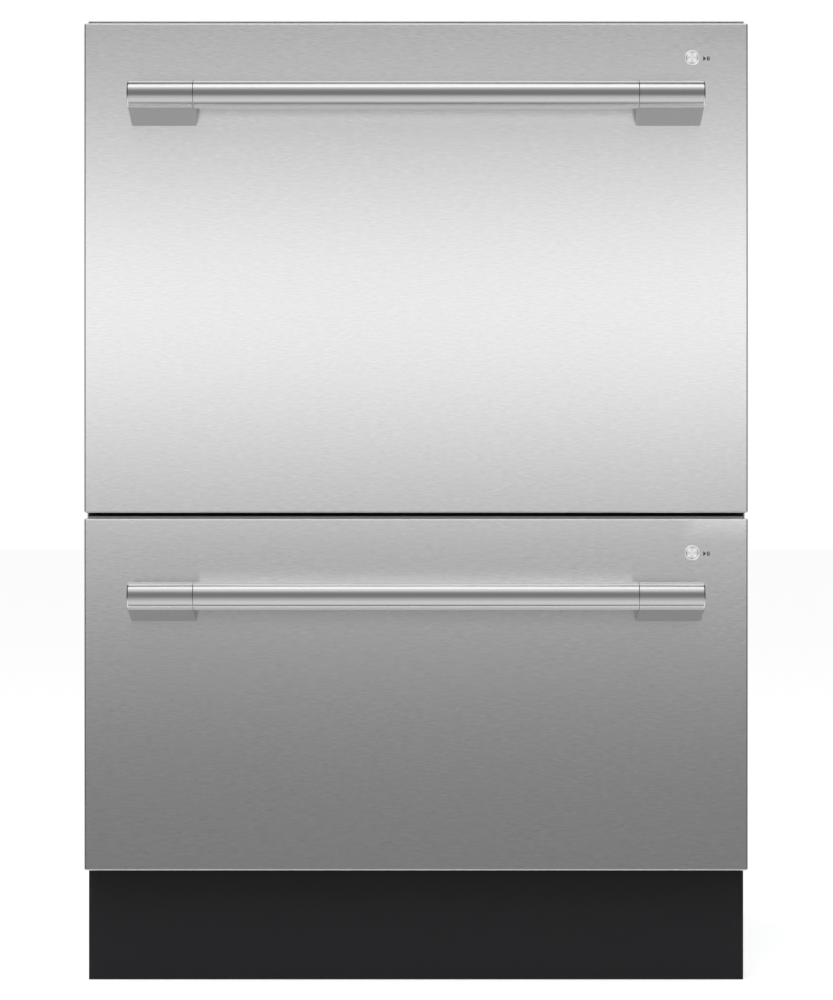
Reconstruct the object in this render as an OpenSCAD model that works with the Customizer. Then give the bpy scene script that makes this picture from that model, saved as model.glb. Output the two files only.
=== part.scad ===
// Double dishwasher drawer: two wash drawers on telescopic slides in one chassis.
// The fronts face -Y, +X is right and +Z is up.
// The origin is on the floor, in the middle of the whole object's width and depth.

/* [Fronts] */
// Width of each steel front
front_w = 599; // [594:1:606]
// Height of the upper steel front
upper_front_h = 442; // [430:1:460]
// Height of the lower steel front
lower_front_h = 318; // [310:1:340]
// Gap between the two steel fronts
front_gap = 5; // [4:0.5:7]
// Height of the lower front above the floor
plinth_h = 103; // [100:1:115]
// Thickness of a front, from its face to its back
front_t = 20; // [18:1:26]
// Sheet thickness of the steel skin
skin_t = 1; // [0.8:0.1:1.2]
// Outer radius of the skin's folded edges
skin_edge_r = 1.6; // [1.3:0.1:2.2]
// Depth of the skin's top return
skin_return = 8; // [6:0.5:11]
// Height of the liner's top strip above the skin
strip_h = 2.6; // [1.6:0.2:3]
// Distance of the top strip's ends from the skin's sides
strip_inset = 3; // [2:0.5:6]

/* [Handles] */
// Diameter of the round bar
bar_d = 25; // [20:0.5:30]
// Distance of the handle's ends from the sides of the front
handle_inset = 42.5; // [30:0.5:80]
// Distance from the face of the front to the middle of the bar
bar_standoff = 46; // [38:0.5:55]
// Distance of the bar's middle below the top of the skin
bar_drop = 69; // [60:1:90]
// Width of each bracket along the bar
bracket_w = 58.5; // [40:0.5:70]
// Height of the bracket's foot above the bar's middle
bracket_rise = 9; // [4:0.5:11]
// Depth of the bracket's foot below the bar's middle
bracket_fall = 23.5; // [16:0.5:30]
// Diameter of the bar's spigots in the brackets
spigot_d = 16; // [12:0.5:18]
// Length of each spigot
spigot_len = 24; // [16:1:36]

/* [Buttons] */
// Outer diameter of the ring round the button
ring_d = 13.8; // [12:0.1:18]
// Outer diameter of the ring's barrel in the skin
barrel_d = 12.4; // [11.6:0.1:13]
// Diameter of the push button
button_d = 10.3; // [9:0.1:10.9]
// Distance of the ring and button in front of the skin
button_proud = 0.8; // [0.4:0.1:1.5]
// Travel of the button
button_travel = 1.5; // [1:0.1:2.5]
// Length of the button
button_len = 7; // [5:0.5:9]
// Distance of the button from the right side of the front
button_inset = 50.3; // [38:0.1:90]
// Distance of the button below the top of the skin
button_drop = 31; // [24:0.5:40]

/* [Chassis] */
// How far each front reaches past the side of the chassis
side_reveal = 1; // [0.5:0.5:3]
// Depth of the chassis
chassis_d = 551; // [546:1:570]
// Gap between the fronts and the chassis
chassis_gap = 2; // [1.5:0.5:4]
// Height of the upper front above the chassis top
chassis_drop = 2; // [1:0.5:3]
// Sheet thickness of the chassis
sheet_t = 1.2; // [1:0.1:1.5]
// Width of the side panels' folded flanges
flange_w = 15; // [12:1:18]
// Height of the side panels above the floor
side_foot = 30; // [22:1:34]
// Height of the service opening at the rear, above the floor
service_h = 178; // [160:1:200]
// Height of the base tray above the floor
tray_z = 60; // [54:1:62]
// Height of the tray's upstand
tray_lip = 18; // [14:1:22]
// Depth of the cross rail between the drawers
rail_d = 30; // [24:1:40]
// Diameter of the screw holes that hold the chassis in a cabinet
fixing_d = 5; // [4:0.5:6]
// Distance of the cabinet screw holes behind the chassis front
fixing_y = 9; // [7:0.5:14]
// Distance between the two screw holes on one side
fixing_span = 450; // [430:1:462]
// Depth of the pressed beads
bead_d = 3; // [2:0.5:4]
// Height of each pressed bead
bead_h = 24; // [16:1:34]
// Distance of the beads from the edges of their sheet
bead_margin = 60; // [40:1:90]
// Number of beads in the roof
roof_beads = 4; // [2:1:5]
// Number of beads in the rear panel
rear_beads = 4; // [2:1:6]

/* [Kick panel] */
// Distance of the kick panel behind the fronts
kick_recess = 35; // [30:1:60]
// Gap between the kick panel and the floor
kick_floor_gap = 0.5; // [0.5:0.5:6]
// Gap between the kick panel and the lower front's bottom edge
kick_gap = 2; // [1.5:0.5:5]
// Depth of the kick panel's side and top returns
kick_return = 18; // [12:1:30]

/* [Levelling feet] */
// Diameter of a foot's pad
pad_d = 42; // [34:1:50]
// Height of a foot's pad
pad_h = 9; // [7:0.5:12]
// Diameter of a foot's screw
screw_d = 10; // [8:1:12]
// Height of the screw's top above the floor
screw_top = 100; // [96:1:102]
// Distance of each foot from the side of the chassis
foot_inset_x = 44; // [40:1:60]
// Distance of each foot from the front and back of the base tray
foot_inset_y = 50; // [40:1:80]
// Length of the threaded boss under the tray
boss_h = 16; // [12:1:20]

/* [Slides] */
// Length of the slide members
slide_len = 500; // [460:5:510]
// Height of the fixed slide member
slide_h = 45; // [38:1:52]
// Thickness of a closed slide
slide_t = 12.7; // [12:0.1:14]
// Sheet thickness of the slide members
slide_sheet = 1.3; // [1.1:0.1:1.5]
// Diameter of the screw holes in the fixed member
rail_hole_d = 6; // [4:0.5:8]
// Number of screw holes in the fixed member
rail_holes = 5; // [3:1:8]
// Height of the slides' middle above the tub's floor
slide_rise = 62; // [50:1:90]

/* [Tubs] */
// Room for the slide between a tub's wall and the chassis side
side_room = 34.3; // [34:0.1:40]
// Room behind a tub for hoses
rear_room = 72; // [66:1:84]
// Wall thickness of a tub
tub_wall = 3; // [2.5:0.5:4]
// Floor thickness of a tub
tub_floor = 5; // [4:0.5:7]
// Corner radius of a tub
tub_corner = 45; // [35:1:60]
// Rounding between a tub's walls and floor
tub_edge = 28; // [18:1:34]
// How far each wall leans in from rim to floor
tub_draft = 5; // [2:0.5:7]
// Overhang of the rim flange
tub_flange = 6; // [4:0.5:7]
// Thickness of the rim flange
tub_flange_t = 4; // [3:0.5:6]
// Thickness of the tub's outer ribs
rib_t = 2; // [1.5:0.5:3]
// Height of the tub's outer ribs
rib_h = 64; // [40:1:80]
// Number of ribs on each side of a tub
rib_count = 7; // [4:1:10]
// Room under a tub for its wash pump
pump_room = 46; // [44:1:52]
// Gap between a wash pump and the bottom edge of its front
pump_gap = 4; // [3.5:0.5:5]

/* [Lids] */
// Thickness of a lid
lid_t = 14; // [12:0.5:16]
// How far a lid comes down to close its tub
lid_lift = 7.7; // [5:0.1:9]
// Height of the seal below the lid
seal_h = 2; // [1.5:0.5:3]
// Width of the seal
seal_w = 9; // [7:0.5:11]
// Room above a parked lid
lid_room = 6; // [5.5:0.5:8]
// Diameter of the lifter posts
post_d = 8; // [6:0.5:9]
// Distance of the lifter posts from the lid's edge
post_out = 10; // [9:0.5:11]
// Length of each lifter housing
lifter_len = 60; // [45:1:80]
// Height of each lifter housing
lifter_h = 42.6; // [30:0.2:50]
// Distance of the lifters from the tub's front and rear walls
lifter_end = 60; // [50:1:90]

/* [Wash system] */
// Diameter of the sump hole in the tub's floor
sump_d = 150; // [130:2:170]
// Diameter of the motor under the sump
motor_d = 118; // [100:2:126]
// Diameter of the drain pump beside the sump
drain_pump_d = 34; // [28:1:38]
// Diameter of the post that carries the spray arm
arm_post_d = 16; // [14:0.5:20]
// Diameter of the filter plate
filter_d = 224; // [200:2:250]
// Sheet thickness of the filter plate
filter_t = 1.5; // [1:0.1:2]
// Diameter of the holes in the filter plate
filter_hole_d = 5; // [3:0.5:6]
// Number of holes in the filter plate's inner ring
filter_holes = 18; // [12:1:24]
// Room between the spray arm's tips and the tub's front and rear walls
arm_room = 33; // [29:1:50]
// Thickness of the spray arm
arm_t = 12; // [9:0.5:13]
// Width of the spray arm at its hub
arm_w = 58; // [44:1:70]
// Width of the spray arm at its tips
arm_tip_w = 26; // [18:1:34]
// Diameter of the spray nozzles
nozzle_d = 3; // [2:0.5:4]

/* [Racks] */
// Room between a rack's rim and the tub's side walls
rack_room_x = 28; // [20:1:36]
// Room between a rack's rim and the tub's front and rear walls
rack_room_y = 28; // [25:1:40]
// Height of the upper rack's walls
upper_rack_h = 170; // [140:1:190]
// Height of the lower rack's walls
lower_rack_h = 112; // [100:1:115]
// Corner radius of a rack
rack_corner = 40; // [30:1:55]
// Diameter of the rim wires
rim_wire_d = 5; // [4:0.5:6]
// Diameter of the other wires
wire_d = 3.4; // [3:0.2:4]
// Height of a rack's base above the tub's floor
rack_rise = 30; // [28:1:36]
// Number of wires across a rack's base
base_wires_across = 9; // [7:1:13]
// Number of wires along a rack's base
base_wires_along = 8; // [6:1:12]
// Number of tines in a row
tine_count = 11; // [7:1:13]
// Distance between tines
tine_pitch = 30; // [26:1:30]
// Height of the tines
tine_h = 66; // [50:1:70]
// Distance between the two tine rows
tine_rows_gap = 120; // [110:1:140]
// Width of the cup rack
cup_w = 88; // [70:1:90]
// Length of the cup rack
cup_len = 330; // [250:5:340]
// Number of cross wires in the cup rack
cup_wires = 8; // [5:1:11]

/* [Cutlery baskets] */
// Width of a cutlery basket
basket_w = 74; // [60:1:78]
// Length of a cutlery basket
basket_len = 236; // [200:1:300]
// Height of a cutlery basket
basket_h = 104; // [90:1:110]
// Wall thickness of a cutlery basket
basket_wall = 2.4; // [2:0.2:3]
// Number of compartments in a cutlery basket
basket_cells = 3; // [2:1:4]
// Width of the baskets' drain slots
basket_slot_w = 8; // [5:1:10]

/* [Dispensers] */
// Width of a detergent dispenser
dispenser_w = 124; // [100:1:150]
// Height of a detergent dispenser
dispenser_h = 54; // [46:1:56]
// Depth of the dispenser's cup
cup_depth = 16; // [12:0.5:18]
// Distance of a dispenser below the tub's rim
dispenser_drop = 17; // [15:1:22]
// Thickness of the flap
flap_t = 2.4; // [2:0.2:3]
// Diameter of the flap's hinge pin
flap_pin_d = 3; // [2:0.5:4]

/* [Services] */
// Distance of the water inlet to the left of the middle
inlet_x = 180; // [150:1:220]
// Distance of the drain connector to the left of the middle
drain_x = 90; // [60:1:110]
// Distance of the mains box to the right of the middle
mains_x = 170; // [120:1:200]
// Width of the mains box
mains_w = 96; // [80:1:120]
// Height of the mains box
mains_h = 57; // [48:1:62]
// Depth of the valve, connector and box on the tray
service_d = 52; // [48:1:56]
// Outer diameter of the water inlet's thread
inlet_d = 26.4; // [20:0.1:27]
// Length of the water inlet's thread
inlet_len = 14; // [10:1:16]
// Outer diameter of the drain spigot
drain_d = 19; // [16:0.5:22]
// Length of the drain spigot
drain_len = 26; // [18:1:30]
// Cable bore of the mains gland
gland_bore_d = 9; // [7:0.5:12]
// Length of the mains gland behind its box
gland_len = 15; // [10:1:18]
// Wall thickness of the mains box
box_wall = 2.5; // [2:0.5:3]

/* [Hidden] */
$fn = 64;
hull_fn = 32;
eps = 0.01;
run_gap = 0.05;  // shaft in its bore
slide_gap = 0.4;  // slide member beside slide member
soft_gap = 0.3;  // moving piece beside its seat
weld_gap = 0.1;  // wire on wire

steel = [0.76, 0.76, 0.77];
bright = [0.86, 0.86, 0.87];
zinc = [0.68, 0.69, 0.71];
black = [0.07, 0.07, 0.075];
grey = [0.56, 0.58, 0.60];
pale = [0.84, 0.85, 0.86];
coated = [0.44, 0.47, 0.51];
rubber = [0.16, 0.16, 0.17];

chassis_w = front_w - 2 * side_reveal;
handle_len = front_w - 2 * handle_inset;
button_x = front_w / 2 - button_inset;
depth = front_t + chassis_gap + chassis_d;
reach = bar_standoff + bar_d / 2;
y_face = (reach - depth) / 2;
y_liner = y_face + front_t;
y_chassis = y_liner + chassis_gap;
y_back = y_face + depth;
y_kick = y_face + kick_recess;

// A drawer is [height of its front's bottom edge, height of its front, height of its rack].
LOWER = [plinth_h, lower_front_h, lower_rack_h];
UPPER = [plinth_h + lower_front_h + front_gap, upper_front_h, upper_rack_h];
head_room = lid_room + lid_t + seal_h + lid_lift + soft_gap;
function z_bottom(d) = d[0];
function z_top(d) = d[0] + d[1];
function rack_h(d) = d[2];
function rim_z(d) = z_top(d) - head_room;
function floor_z(d) = z_bottom(d) + pump_room;
function inner_floor_z(d) = floor_z(d) + tub_floor;
function slide_z(d) = floor_z(d) + slide_rise;
function lid_z(d) = rim_z(d) + soft_gap + lid_lift + seal_h;
function rack_z(d) = inner_floor_z(d) + rack_rise;
function bar_z(d) = z_top(d) - bar_drop;

z_chassis = z_top(UPPER) - chassis_drop;
x_in = chassis_w / 2 - sheet_t;
rim_gap = 3;
tub_w = 2 * (x_in - side_room);
tub_d = chassis_d - rim_gap - tub_flange - rear_room;
rack_w = tub_w - 2 * rack_room_x;
rack_d = tub_d - 2 * rack_room_y;
arm_len = tub_d - 2 * arm_room;
x_post = tub_w / 2 + tub_flange + post_out;
y_rim = y_chassis + rim_gap;
y_tub = y_rim + tub_flange;
y_mid = y_tub + tub_d / 2;
y_tray = y_kick + sheet_t;
y_tray_back = y_back - 2 * sheet_t;

// ---------- helpers ----------

// A box between two opposite corners
module block(lo, hi) translate(lo) cube(hi - lo);

module both_sides() {
  children();
  mirror([1, 0, 0]) children();
}

module rod_x(x0, x1, y, z, d) translate([x0, y, z]) rotate([0, 90, 0]) cylinder(d = d, h = x1 - x0);
module rod_y(y0, y1, x, z, d) translate([x, y0, z]) rotate([-90, 0, 0]) cylinder(d = d, h = y1 - y0);
module rod_z(z0, z1, x, y, d) translate([x, y, z0]) cylinder(d = d, h = z1 - z0);

// A strip whose two front corners are rounded, as a folded sheet's are
module eased(len, t, r) {
  translate([-len / 2 + r, 0]) square([len - 2 * r, t]);
  translate([-len / 2, r]) square([len, t - r]);
  for (s = [-1, 1]) translate([s * (len / 2 - r), r]) circle(r);
}

module rounded(w, d, r) {
  square([w - 2 * r, d], center = true);
  square([w, d - 2 * r], center = true);
  for (sx = [-1, 1], sy = [-1, 1]) translate([sx * (w / 2 - r), sy * (d / 2 - r)]) circle(r);
}

// A flat sheet in X and Z with pressed beads that stand out by bead_d towards +Y
module beaded_sheet(w, h, t, bead_len, bead_zs) {
  difference() {
    union() {
      translate([-w / 2, 0, 0]) cube([w, t, h]);
      for (z = bead_zs) translate([-bead_len / 2, 0, z]) cube([bead_len, t + bead_d, bead_h]);
    }
    for (z = bead_zs) translate([-bead_len / 2 + t, -1, z + t])
      cube([bead_len - 2 * t, 1 + bead_d, bead_h - 2 * t]);
  }
}

// ---------- chassis ----------

fixing_rise = 4;
fixing_mid = (rim_z(LOWER) + rim_z(UPPER)) / 2 + fixing_rise;
fixing_heights = [fixing_mid - fixing_span / 2, fixing_mid + fixing_span / 2];

// Heights of the beads pressed into the sides, clear of the slides and the lid lifters
bead_clear = 8;
function bead_low(d) = slide_z(d) + slide_h / 2 + bead_clear;
function bead_room(d) = rim_z(d) - lifter_h - bead_clear - bead_low(d);
function side_beads(d) = max(1, floor(bead_room(d) / (2.2 * bead_h)));
side_bead_zs = [for (d = [LOWER, UPPER], i = [0:side_beads(d) - 1])
  bead_low(d) + (i + 0.5) * bead_room(d) / side_beads(d)];

// A sheet side with flanges folded inwards at its top, bottom and rear
module side_panel() difference() {
  h = z_chassis - sheet_t - side_foot;
  union() {
    difference() {
      translate([x_in + sheet_t - flange_w, y_chassis, side_foot]) cube([flange_w, chassis_d, h]);
      translate([x_in - flange_w, y_chassis - 1, side_foot + sheet_t])
        cube([flange_w, chassis_d - sheet_t + 1, h - 2 * sheet_t]);
    }
    for (z = side_bead_zs)
      block([x_in - bead_d, y_chassis + bead_margin, z - bead_h / 2],
            [x_in + eps, y_back - bead_margin, z + bead_h / 2]);
  }
  for (z = side_bead_zs)
    block([x_in - bead_d + sheet_t, y_chassis + bead_margin + sheet_t, z - bead_h / 2 + sheet_t],
          [x_in + 2 * sheet_t, y_back - bead_margin - sheet_t, z + bead_h / 2 - sheet_t]);
  // toe notch for the kick panel
  block([x_in - flange_w, y_chassis - 1, side_foot - 1],
        [x_in + 2 * sheet_t, y_kick + kick_return, z_bottom(LOWER) - kick_gap]);
  for (z = fixing_heights) rod_x(x_in - 1, x_in + sheet_t + 1, y_chassis + fixing_y, z, fixing_d);
}
module side_panel_right() color(zinc) side_panel();
module side_panel_left() color(zinc) mirror([1, 0, 0]) side_panel();

module rear_panel() color(zinc) {
  h = z_chassis - 2 * sheet_t - service_h;
  translate([0, y_back - sheet_t, service_h]) mirror([0, 1, 0])
    beaded_sheet(2 * x_in, h, sheet_t, 2 * (x_in - bead_margin),
                 [for (i = [1:rear_beads]) i * h / (rear_beads + 1) - bead_h / 2]);
}

// The roof: a flat sheet with a front lip turned down
module top_panel() color(zinc) {
  y0 = y_chassis + bead_margin;
  y1 = y_back - bead_margin;
  difference() {
    union() {
      block([-chassis_w / 2, y_chassis, z_chassis - sheet_t], [chassis_w / 2, y_back, z_chassis]);
      for (x = roof_bead_xs)
        block([x - bead_h, y0, z_chassis - eps], [x + bead_h, y1, z_chassis + roof_bead_h]);
    }
    for (x = roof_bead_xs)
      block([x - bead_h + sheet_t, y0 + sheet_t, z_chassis - 2 * sheet_t],
            [x + bead_h - sheet_t, y1 - sheet_t, z_chassis + roof_bead_h - sheet_t]);
  }
  lip = chassis_w / 2 - flange_w - soft_gap;
  block([-lip, y_chassis, z_chassis - flange_w], [lip, y_chassis + sheet_t, z_chassis]);
}

roof_bead_xs = [for (i = [0:roof_beads - 1]) (i - (roof_beads - 1) / 2) * chassis_w / (roof_beads + 0.6)];
roof_bead_h = chassis_drop + strip_h / 3;

// Folded C section between the two drawers
module cross_rail() color(black) {
  z0 = z_bottom(UPPER) + pump_gap - soft_gap - cross_rail_h;
  difference() {
    block([-x_in, y_chassis, z0], [x_in, y_chassis + rail_d, z0 + cross_rail_h]);
    block([-x_in - 1, y_chassis + sheet_t, z0 + sheet_t],
          [x_in + 1, y_chassis + rail_d + 1, z0 + cross_rail_h - sheet_t]);
  }
}
rail_room = 2;  // room between the lower lid and the cross rail
cross_rail_h = front_gap + pump_gap + lid_room - rail_room;

function foot_places() = [for (sx = [-1, 1], front = [true, false])
  [sx * (chassis_w / 2 - foot_inset_x), front ? y_tray + foot_inset_y : y_tray_back - foot_inset_y]];

module base_tray() color(zinc) difference() {
  union() {
    block([-x_in, y_tray, tray_z], [x_in, y_tray_back, tray_z + tray_lip]);
    for (p = foot_places()) rod_z(tray_z - boss_h, tray_z + sheet_t, p.x, p.y, 1.8 * screw_d);
  }
  block([-x_in + sheet_t, y_tray + sheet_t, tray_z + sheet_t],
        [x_in - sheet_t, y_tray_back - sheet_t, tray_z + tray_lip + 1]);
  for (p = foot_places())
    rod_z(tray_z - boss_h - 1, tray_z + sheet_t + 1, p.x, p.y, screw_d + 2 * run_gap);
}

// Painted toe board with returns on both sides and along its top
module kick_panel() color(black) difference() {
  z1 = z_bottom(LOWER) - kick_gap;
  block([-chassis_w / 2, y_kick, kick_floor_gap], [chassis_w / 2, y_kick + kick_return, z1]);
  block([-x_in, y_kick + sheet_t, kick_floor_gap - 1], [x_in, y_kick + kick_return + 1, z1 - sheet_t]);
}

// A moulded pad, a hexagon nut and a screw
module foot(p) {
  translate([p.x, p.y, 0]) rotate_extrude() polygon([
    [0, 0], [pad_d / 2 - 1, 0], [pad_d / 2, 1],
    [pad_d / 2, pad_h * 0.45], [screw_d, pad_h], [0, pad_h]
  ]);
  translate([p.x, p.y, pad_h]) cylinder(d = 1.7 * screw_d, h = 0.8 * screw_d, $fn = 6);
  rod_z(pad_h, screw_top, p.x, p.y, screw_d);
}
module foot_front_left() color(rubber) foot(foot_places()[0]);
module foot_rear_left() color(rubber) foot(foot_places()[1]);
module foot_front_right() color(rubber) foot(foot_places()[2]);
module foot_rear_right() color(rubber) foot(foot_places()[3]);

// ---------- services at the rear of the tray ----------

service_z = tray_z + sheet_t;
port_z = tray_z + tray_lip + inlet_d / 2 + 5;
service_y = y_tray_back - sheet_t - service_d;
valve_w = 48;
valve_l = 36;
coil_d = 30;
coil_h = 26;
inlet_collar = 4;  // width and thickness of the collar behind the inlet's thread
drain_w = 40;
barb_h = 1.5;

// Valve body with an upright coil and a threaded spigot that opens to the rear
module water_inlet_valve() color(pale) translate([-inlet_x, 0, 0]) {
  y1 = service_y + valve_l;
  block([-valve_w / 2, service_y, service_z], [valve_w / 2, y1, port_z + inlet_d / 2 + inlet_collar]);
  rod_z(port_z, port_z + inlet_d / 2 + coil_h, 0, service_y + coil_d / 2 + 1, coil_d);
  difference() {
    union() {
      rod_y(y1 - inlet_collar, y_back, 0, port_z, inlet_d);
      rod_y(y1 - eps, y1 + inlet_collar, 0, port_z, inlet_d + 2 * inlet_collar);
    }
    rod_y(y_back - inlet_len, y_back + 1, 0, port_z, 0.7 * inlet_d);
  }
}

// Connector with a barbed spigot for the drain hose
module drain_connector() color(grey) translate([-drain_x, 0, 0]) difference() {
  y1 = service_y + 0.75 * drain_w;
  barb_l = drain_len / 3.25;
  union() {
    block([-drain_w / 2, service_y, service_z], [drain_w / 2, y1, port_z + drain_d / 2 + 6]);
    rod_y(y1 - 10, y_back, 0, port_z, drain_d);
    for (i = [0:2]) translate([0, y_back - drain_len + i * barb_l, port_z]) rotate([-90, 0, 0])
      cylinder(d1 = drain_d + 2 * barb_h, d2 = drain_d, h = 0.75 * barb_l);
    rod_z(port_z, port_z + drain_d / 2 + coil_h, 0, service_y + drain_w / 2 - 5, drain_d);
  }
  rod_y(y_back - drain_len - 8, y_back + 1, 0, port_z, 0.74 * drain_d);
}

// Hollow terminal box: its cable comes in through a gland with a hexagon nut
module mains_box() color(black) translate([mains_x, 0, 0]) difference() {
  w = mains_w / 2;
  y1 = service_y + service_d - gland_len;
  z1 = service_z + mains_h;
  union() {
    block([-w, service_y, service_z], [w, y1, z1 - box_wall]);
    block([-w + 4, service_y + 4, service_z + box_wall], [w - 4, y1 - 4, z1]);
    translate([0, y1 - eps, port_z]) rotate([-90, 0, 0])
      cylinder(d = 2.6 * gland_bore_d, h = gland_len / 3, $fn = 6);
    rod_y(y1 - eps, y1 + gland_len, 0, port_z, 2 * gland_bore_d);
  }
  block([-w + box_wall, service_y + box_wall, service_z + box_wall],
        [w - box_wall, y1 - box_wall, z1 - 2 * box_wall]);
  rod_y(y1 - box_wall - 1, y1 + gland_len + 1, 0, port_z, gland_bore_d);
}

// ---------- telescopic slides ----------

// A channel lying along Y: its web is u0 from the chassis side and its flanges reach to u1
module channel(u0, u1, h, z) {
  web = u1 > u0 ? [u0, u0 + slide_sheet] : [u0 - slide_sheet, u0];
  lo = min(u0, u1);
  hi = max(u0, u1);
  translate([0, y_slide, z]) {
    block([x_in - web[1], 0, -h / 2], [x_in - web[0], slide_len, h / 2]);
    for (s = [-1, 1]) translate([x_in - hi, 0, s * (h - slide_sheet) / 2 - slide_sheet / 2])
      cube([hi - lo, slide_len, slide_sheet]);
  }
}
y_slide = y_chassis + 4;
step_u = slide_sheet + slide_gap;
step_h = 2 * step_u;

module rails(d) color(bright) both_sides() difference() {
  channel(0, slide_t - slide_gap, slide_h, slide_z(d));
  for (y = spread(rail_holes, slide_len, 30))
    rod_x(x_in - 2 * slide_sheet, x_in + 1, y_slide + slide_len / 2 + y, slide_z(d), rail_hole_d);
}
module middle_slides(d) color(bright) both_sides()
  channel(step_u, slide_t - 2 * slide_gap, slide_h - step_h, slide_z(d));
// The drawer's own members, each with an angle that carries the tub's side ledge
module drawer_slides(d) color(bright) both_sides() {
  u = slide_t + slide_sheet;
  z = slide_z(d) + ledge_drop;
  channel(u, step_h, slide_h - 2 * step_h, slide_z(d));
  block([tub_w / 2 + 1, y_slide, z - slide_sheet], [x_in - u + eps, y_slide + slide_len - 40, z]);
}
ledge_drop = 5;
x_ledge = x_in - slide_t - slide_sheet - 1;

// ---------- lid and its lifters ----------

lifter_ys = [y_rim + lifter_end, y_rim + tub_d - lifter_end];
lifter_w = 18;
lifter_back = 4;
housing_t = 12;
ear_t = 8;
lifter_arm_t = 3.4;

// Brackets with an arm below and an arm above the lid's ears, and the posts that guide them
module lid_lifters(d) color(grey) both_sides() for (y = lifter_ys) {
  top = lid_z(d) + ear_t + soft_gap;
  low = rim_z(d) + seal_h;
  x0 = x_post - post_d / 2 - 3;
  y0 = y - lifter_w / 2;
  y1 = y + lifter_w / 2;
  block([x0, y0, low - lifter_arm_t], [x_in, y1, low]);
  block([x0, y0, top], [x_in, y1, top + lifter_arm_t]);
  block([x_in - lifter_back, y0, low - lifter_arm_t], [x_in, y1, top + lifter_arm_t]);
  rod_z(low - eps, top + eps, x_post, y, post_d);
  // motor housing
  z1 = low - lifter_arm_t;
  block([x_in - housing_t, y - lifter_len / 2, z1 - lifter_h], [x_in, y + lifter_len / 2, z1]);
}

// Moulded plate with stiffening pockets above and four guide ears
module lid(d) color(pale) {
  w = tub_w + 2 * tub_flange;
  l = tub_d + 2 * tub_flange;
  pitch_x = w / (pockets_x + 0.4);
  pitch_y = l / (pockets_y + 0.3);
  difference() {
    union() {
      translate([0, y_mid, lid_z(d)]) linear_extrude(lid_t) rounded(w, l, tub_corner + tub_flange);
      both_sides() for (y = lifter_ys) {
        block([w / 2 - 3, y - ear_w / 2, lid_z(d)], [x_post, y + ear_w / 2, lid_z(d) + ear_t]);
        rod_z(lid_z(d), lid_z(d) + ear_t, x_post, y, post_d + 6);
      }
    }
    for (i = [0.5:pockets_x], j = [0.5:pockets_y])
      translate([(i - pockets_x / 2) * pitch_x, y_mid + (j - pockets_y / 2) * pitch_y, lid_z(d) + 4])
        linear_extrude(lid_t) rounded(pitch_x - 6, pitch_y - 6, 10);
    both_sides() for (y = lifter_ys)
      rod_z(lid_z(d) - 1, lid_z(d) + lid_t + 1, x_post, y, post_d + 2 * run_gap);
  }
}
ear_w = 22;
pockets_x = 4;
pockets_y = 3;

module lid_seal(d) color(rubber) translate([0, y_mid, lid_z(d) - seal_h]) linear_extrude(seal_h)
  difference() {
    w = tub_w + 2 * (tub_flange - 1);
    l = tub_d + 2 * (tub_flange - 1);
    r = tub_corner + tub_flange - 1;
    rounded(w, l, r);
    rounded(w - 2 * seal_w, l - 2 * seal_w, r - seal_w);
  }

// ---------- front ----------

module front_skin(d) color(steel) difference() {
  intersection() {
    translate([0, y_face, z_bottom(d)]) linear_extrude(d[1]) eased(front_w, front_t, skin_edge_r);
    translate([-front_w / 2, y_face, z_bottom(d) + d[1] / 2]) rotate([90, 0, 90])
      linear_extrude(front_w) mirror([1, 0]) rotate(90) eased(d[1], front_t, skin_edge_r);
  }
  block([-front_w / 2 + skin_t, y_face + skin_t, z_bottom(d) + skin_t],
        [front_w / 2 - skin_t, y_liner + 1, z_top(d) - skin_t]);
  block([-front_w / 2 + strip_inset, y_face + skin_return, z_top(d) - 2 * skin_t],
        [front_w / 2 - strip_inset, y_liner + 1, z_top(d) + 1]);
  rod_y(y_face - 1, y_face + 2 * skin_t, button_x, z_top(d) - button_drop, barrel_d);
}

// The insulated back of the front: it fills the skin, shows above it as a strip and meets the tub
module front_liner(d) color(grey) difference() {
  pad_w = tub_w - 2 * tub_corner;
  z_step = rim_z(d) - tub_flange_t - 1;
  union() {
    block([-front_w / 2 + skin_t, y_face + skin_t, z_bottom(d) + skin_t],
          [front_w / 2 - skin_t, y_liner, z_top(d) - skin_t]);
    block([-front_w / 2 + strip_inset, y_face + skin_return, z_top(d) - 2 * skin_t],
          [front_w / 2 - strip_inset, y_liner, z_top(d) + strip_h]);
    // two steps that meet the tub's wall and its rim
    block([-pad_w / 2, y_liner - 1, floor_z(d) + tub_edge + 12], [pad_w / 2, y_tub, z_step]);
    block([-pad_w / 2, y_liner - 1, z_step - 1], [pad_w / 2, y_rim, rim_z(d)]);
  }
  rod_y(y_face, y_face + button_pocket, button_x, z_top(d) - button_drop, barrel_d);
  dispenser_window(d, soft_gap - dispenser_lap, y_liner - 4, y_tub + 1);
}
button_pocket = button_len + button_travel + 1;

module handle_bar(d) color(bright) {
  grip = handle_len - 2 * bracket_w;
  rod_x(-grip / 2, grip / 2, y_face - bar_standoff, bar_z(d), bar_d);
  both_sides() rod_x(grip / 2 - 1, grip / 2 + spigot_len, y_face - bar_standoff, bar_z(d), spigot_d);
}

// Where the line from p to the bar's round touches it, on side s
function touch(p, r, s) = let (a = atan2(p.y, p.x) + s * acos(r / norm(p))) r * [cos(a), sin(a)];

// Side view of a bracket, with the bar's middle at the origin and the front at the right
module bracket_side() {
  top = [bar_standoff, bracket_rise];
  low = [bar_standoff, -bracket_fall];
  r = bar_d / 2;
  circle(r, $fn = 96);
  polygon([top, touch(top, r - eps, 1), touch(low, r - eps, -1), low]);
}

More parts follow.
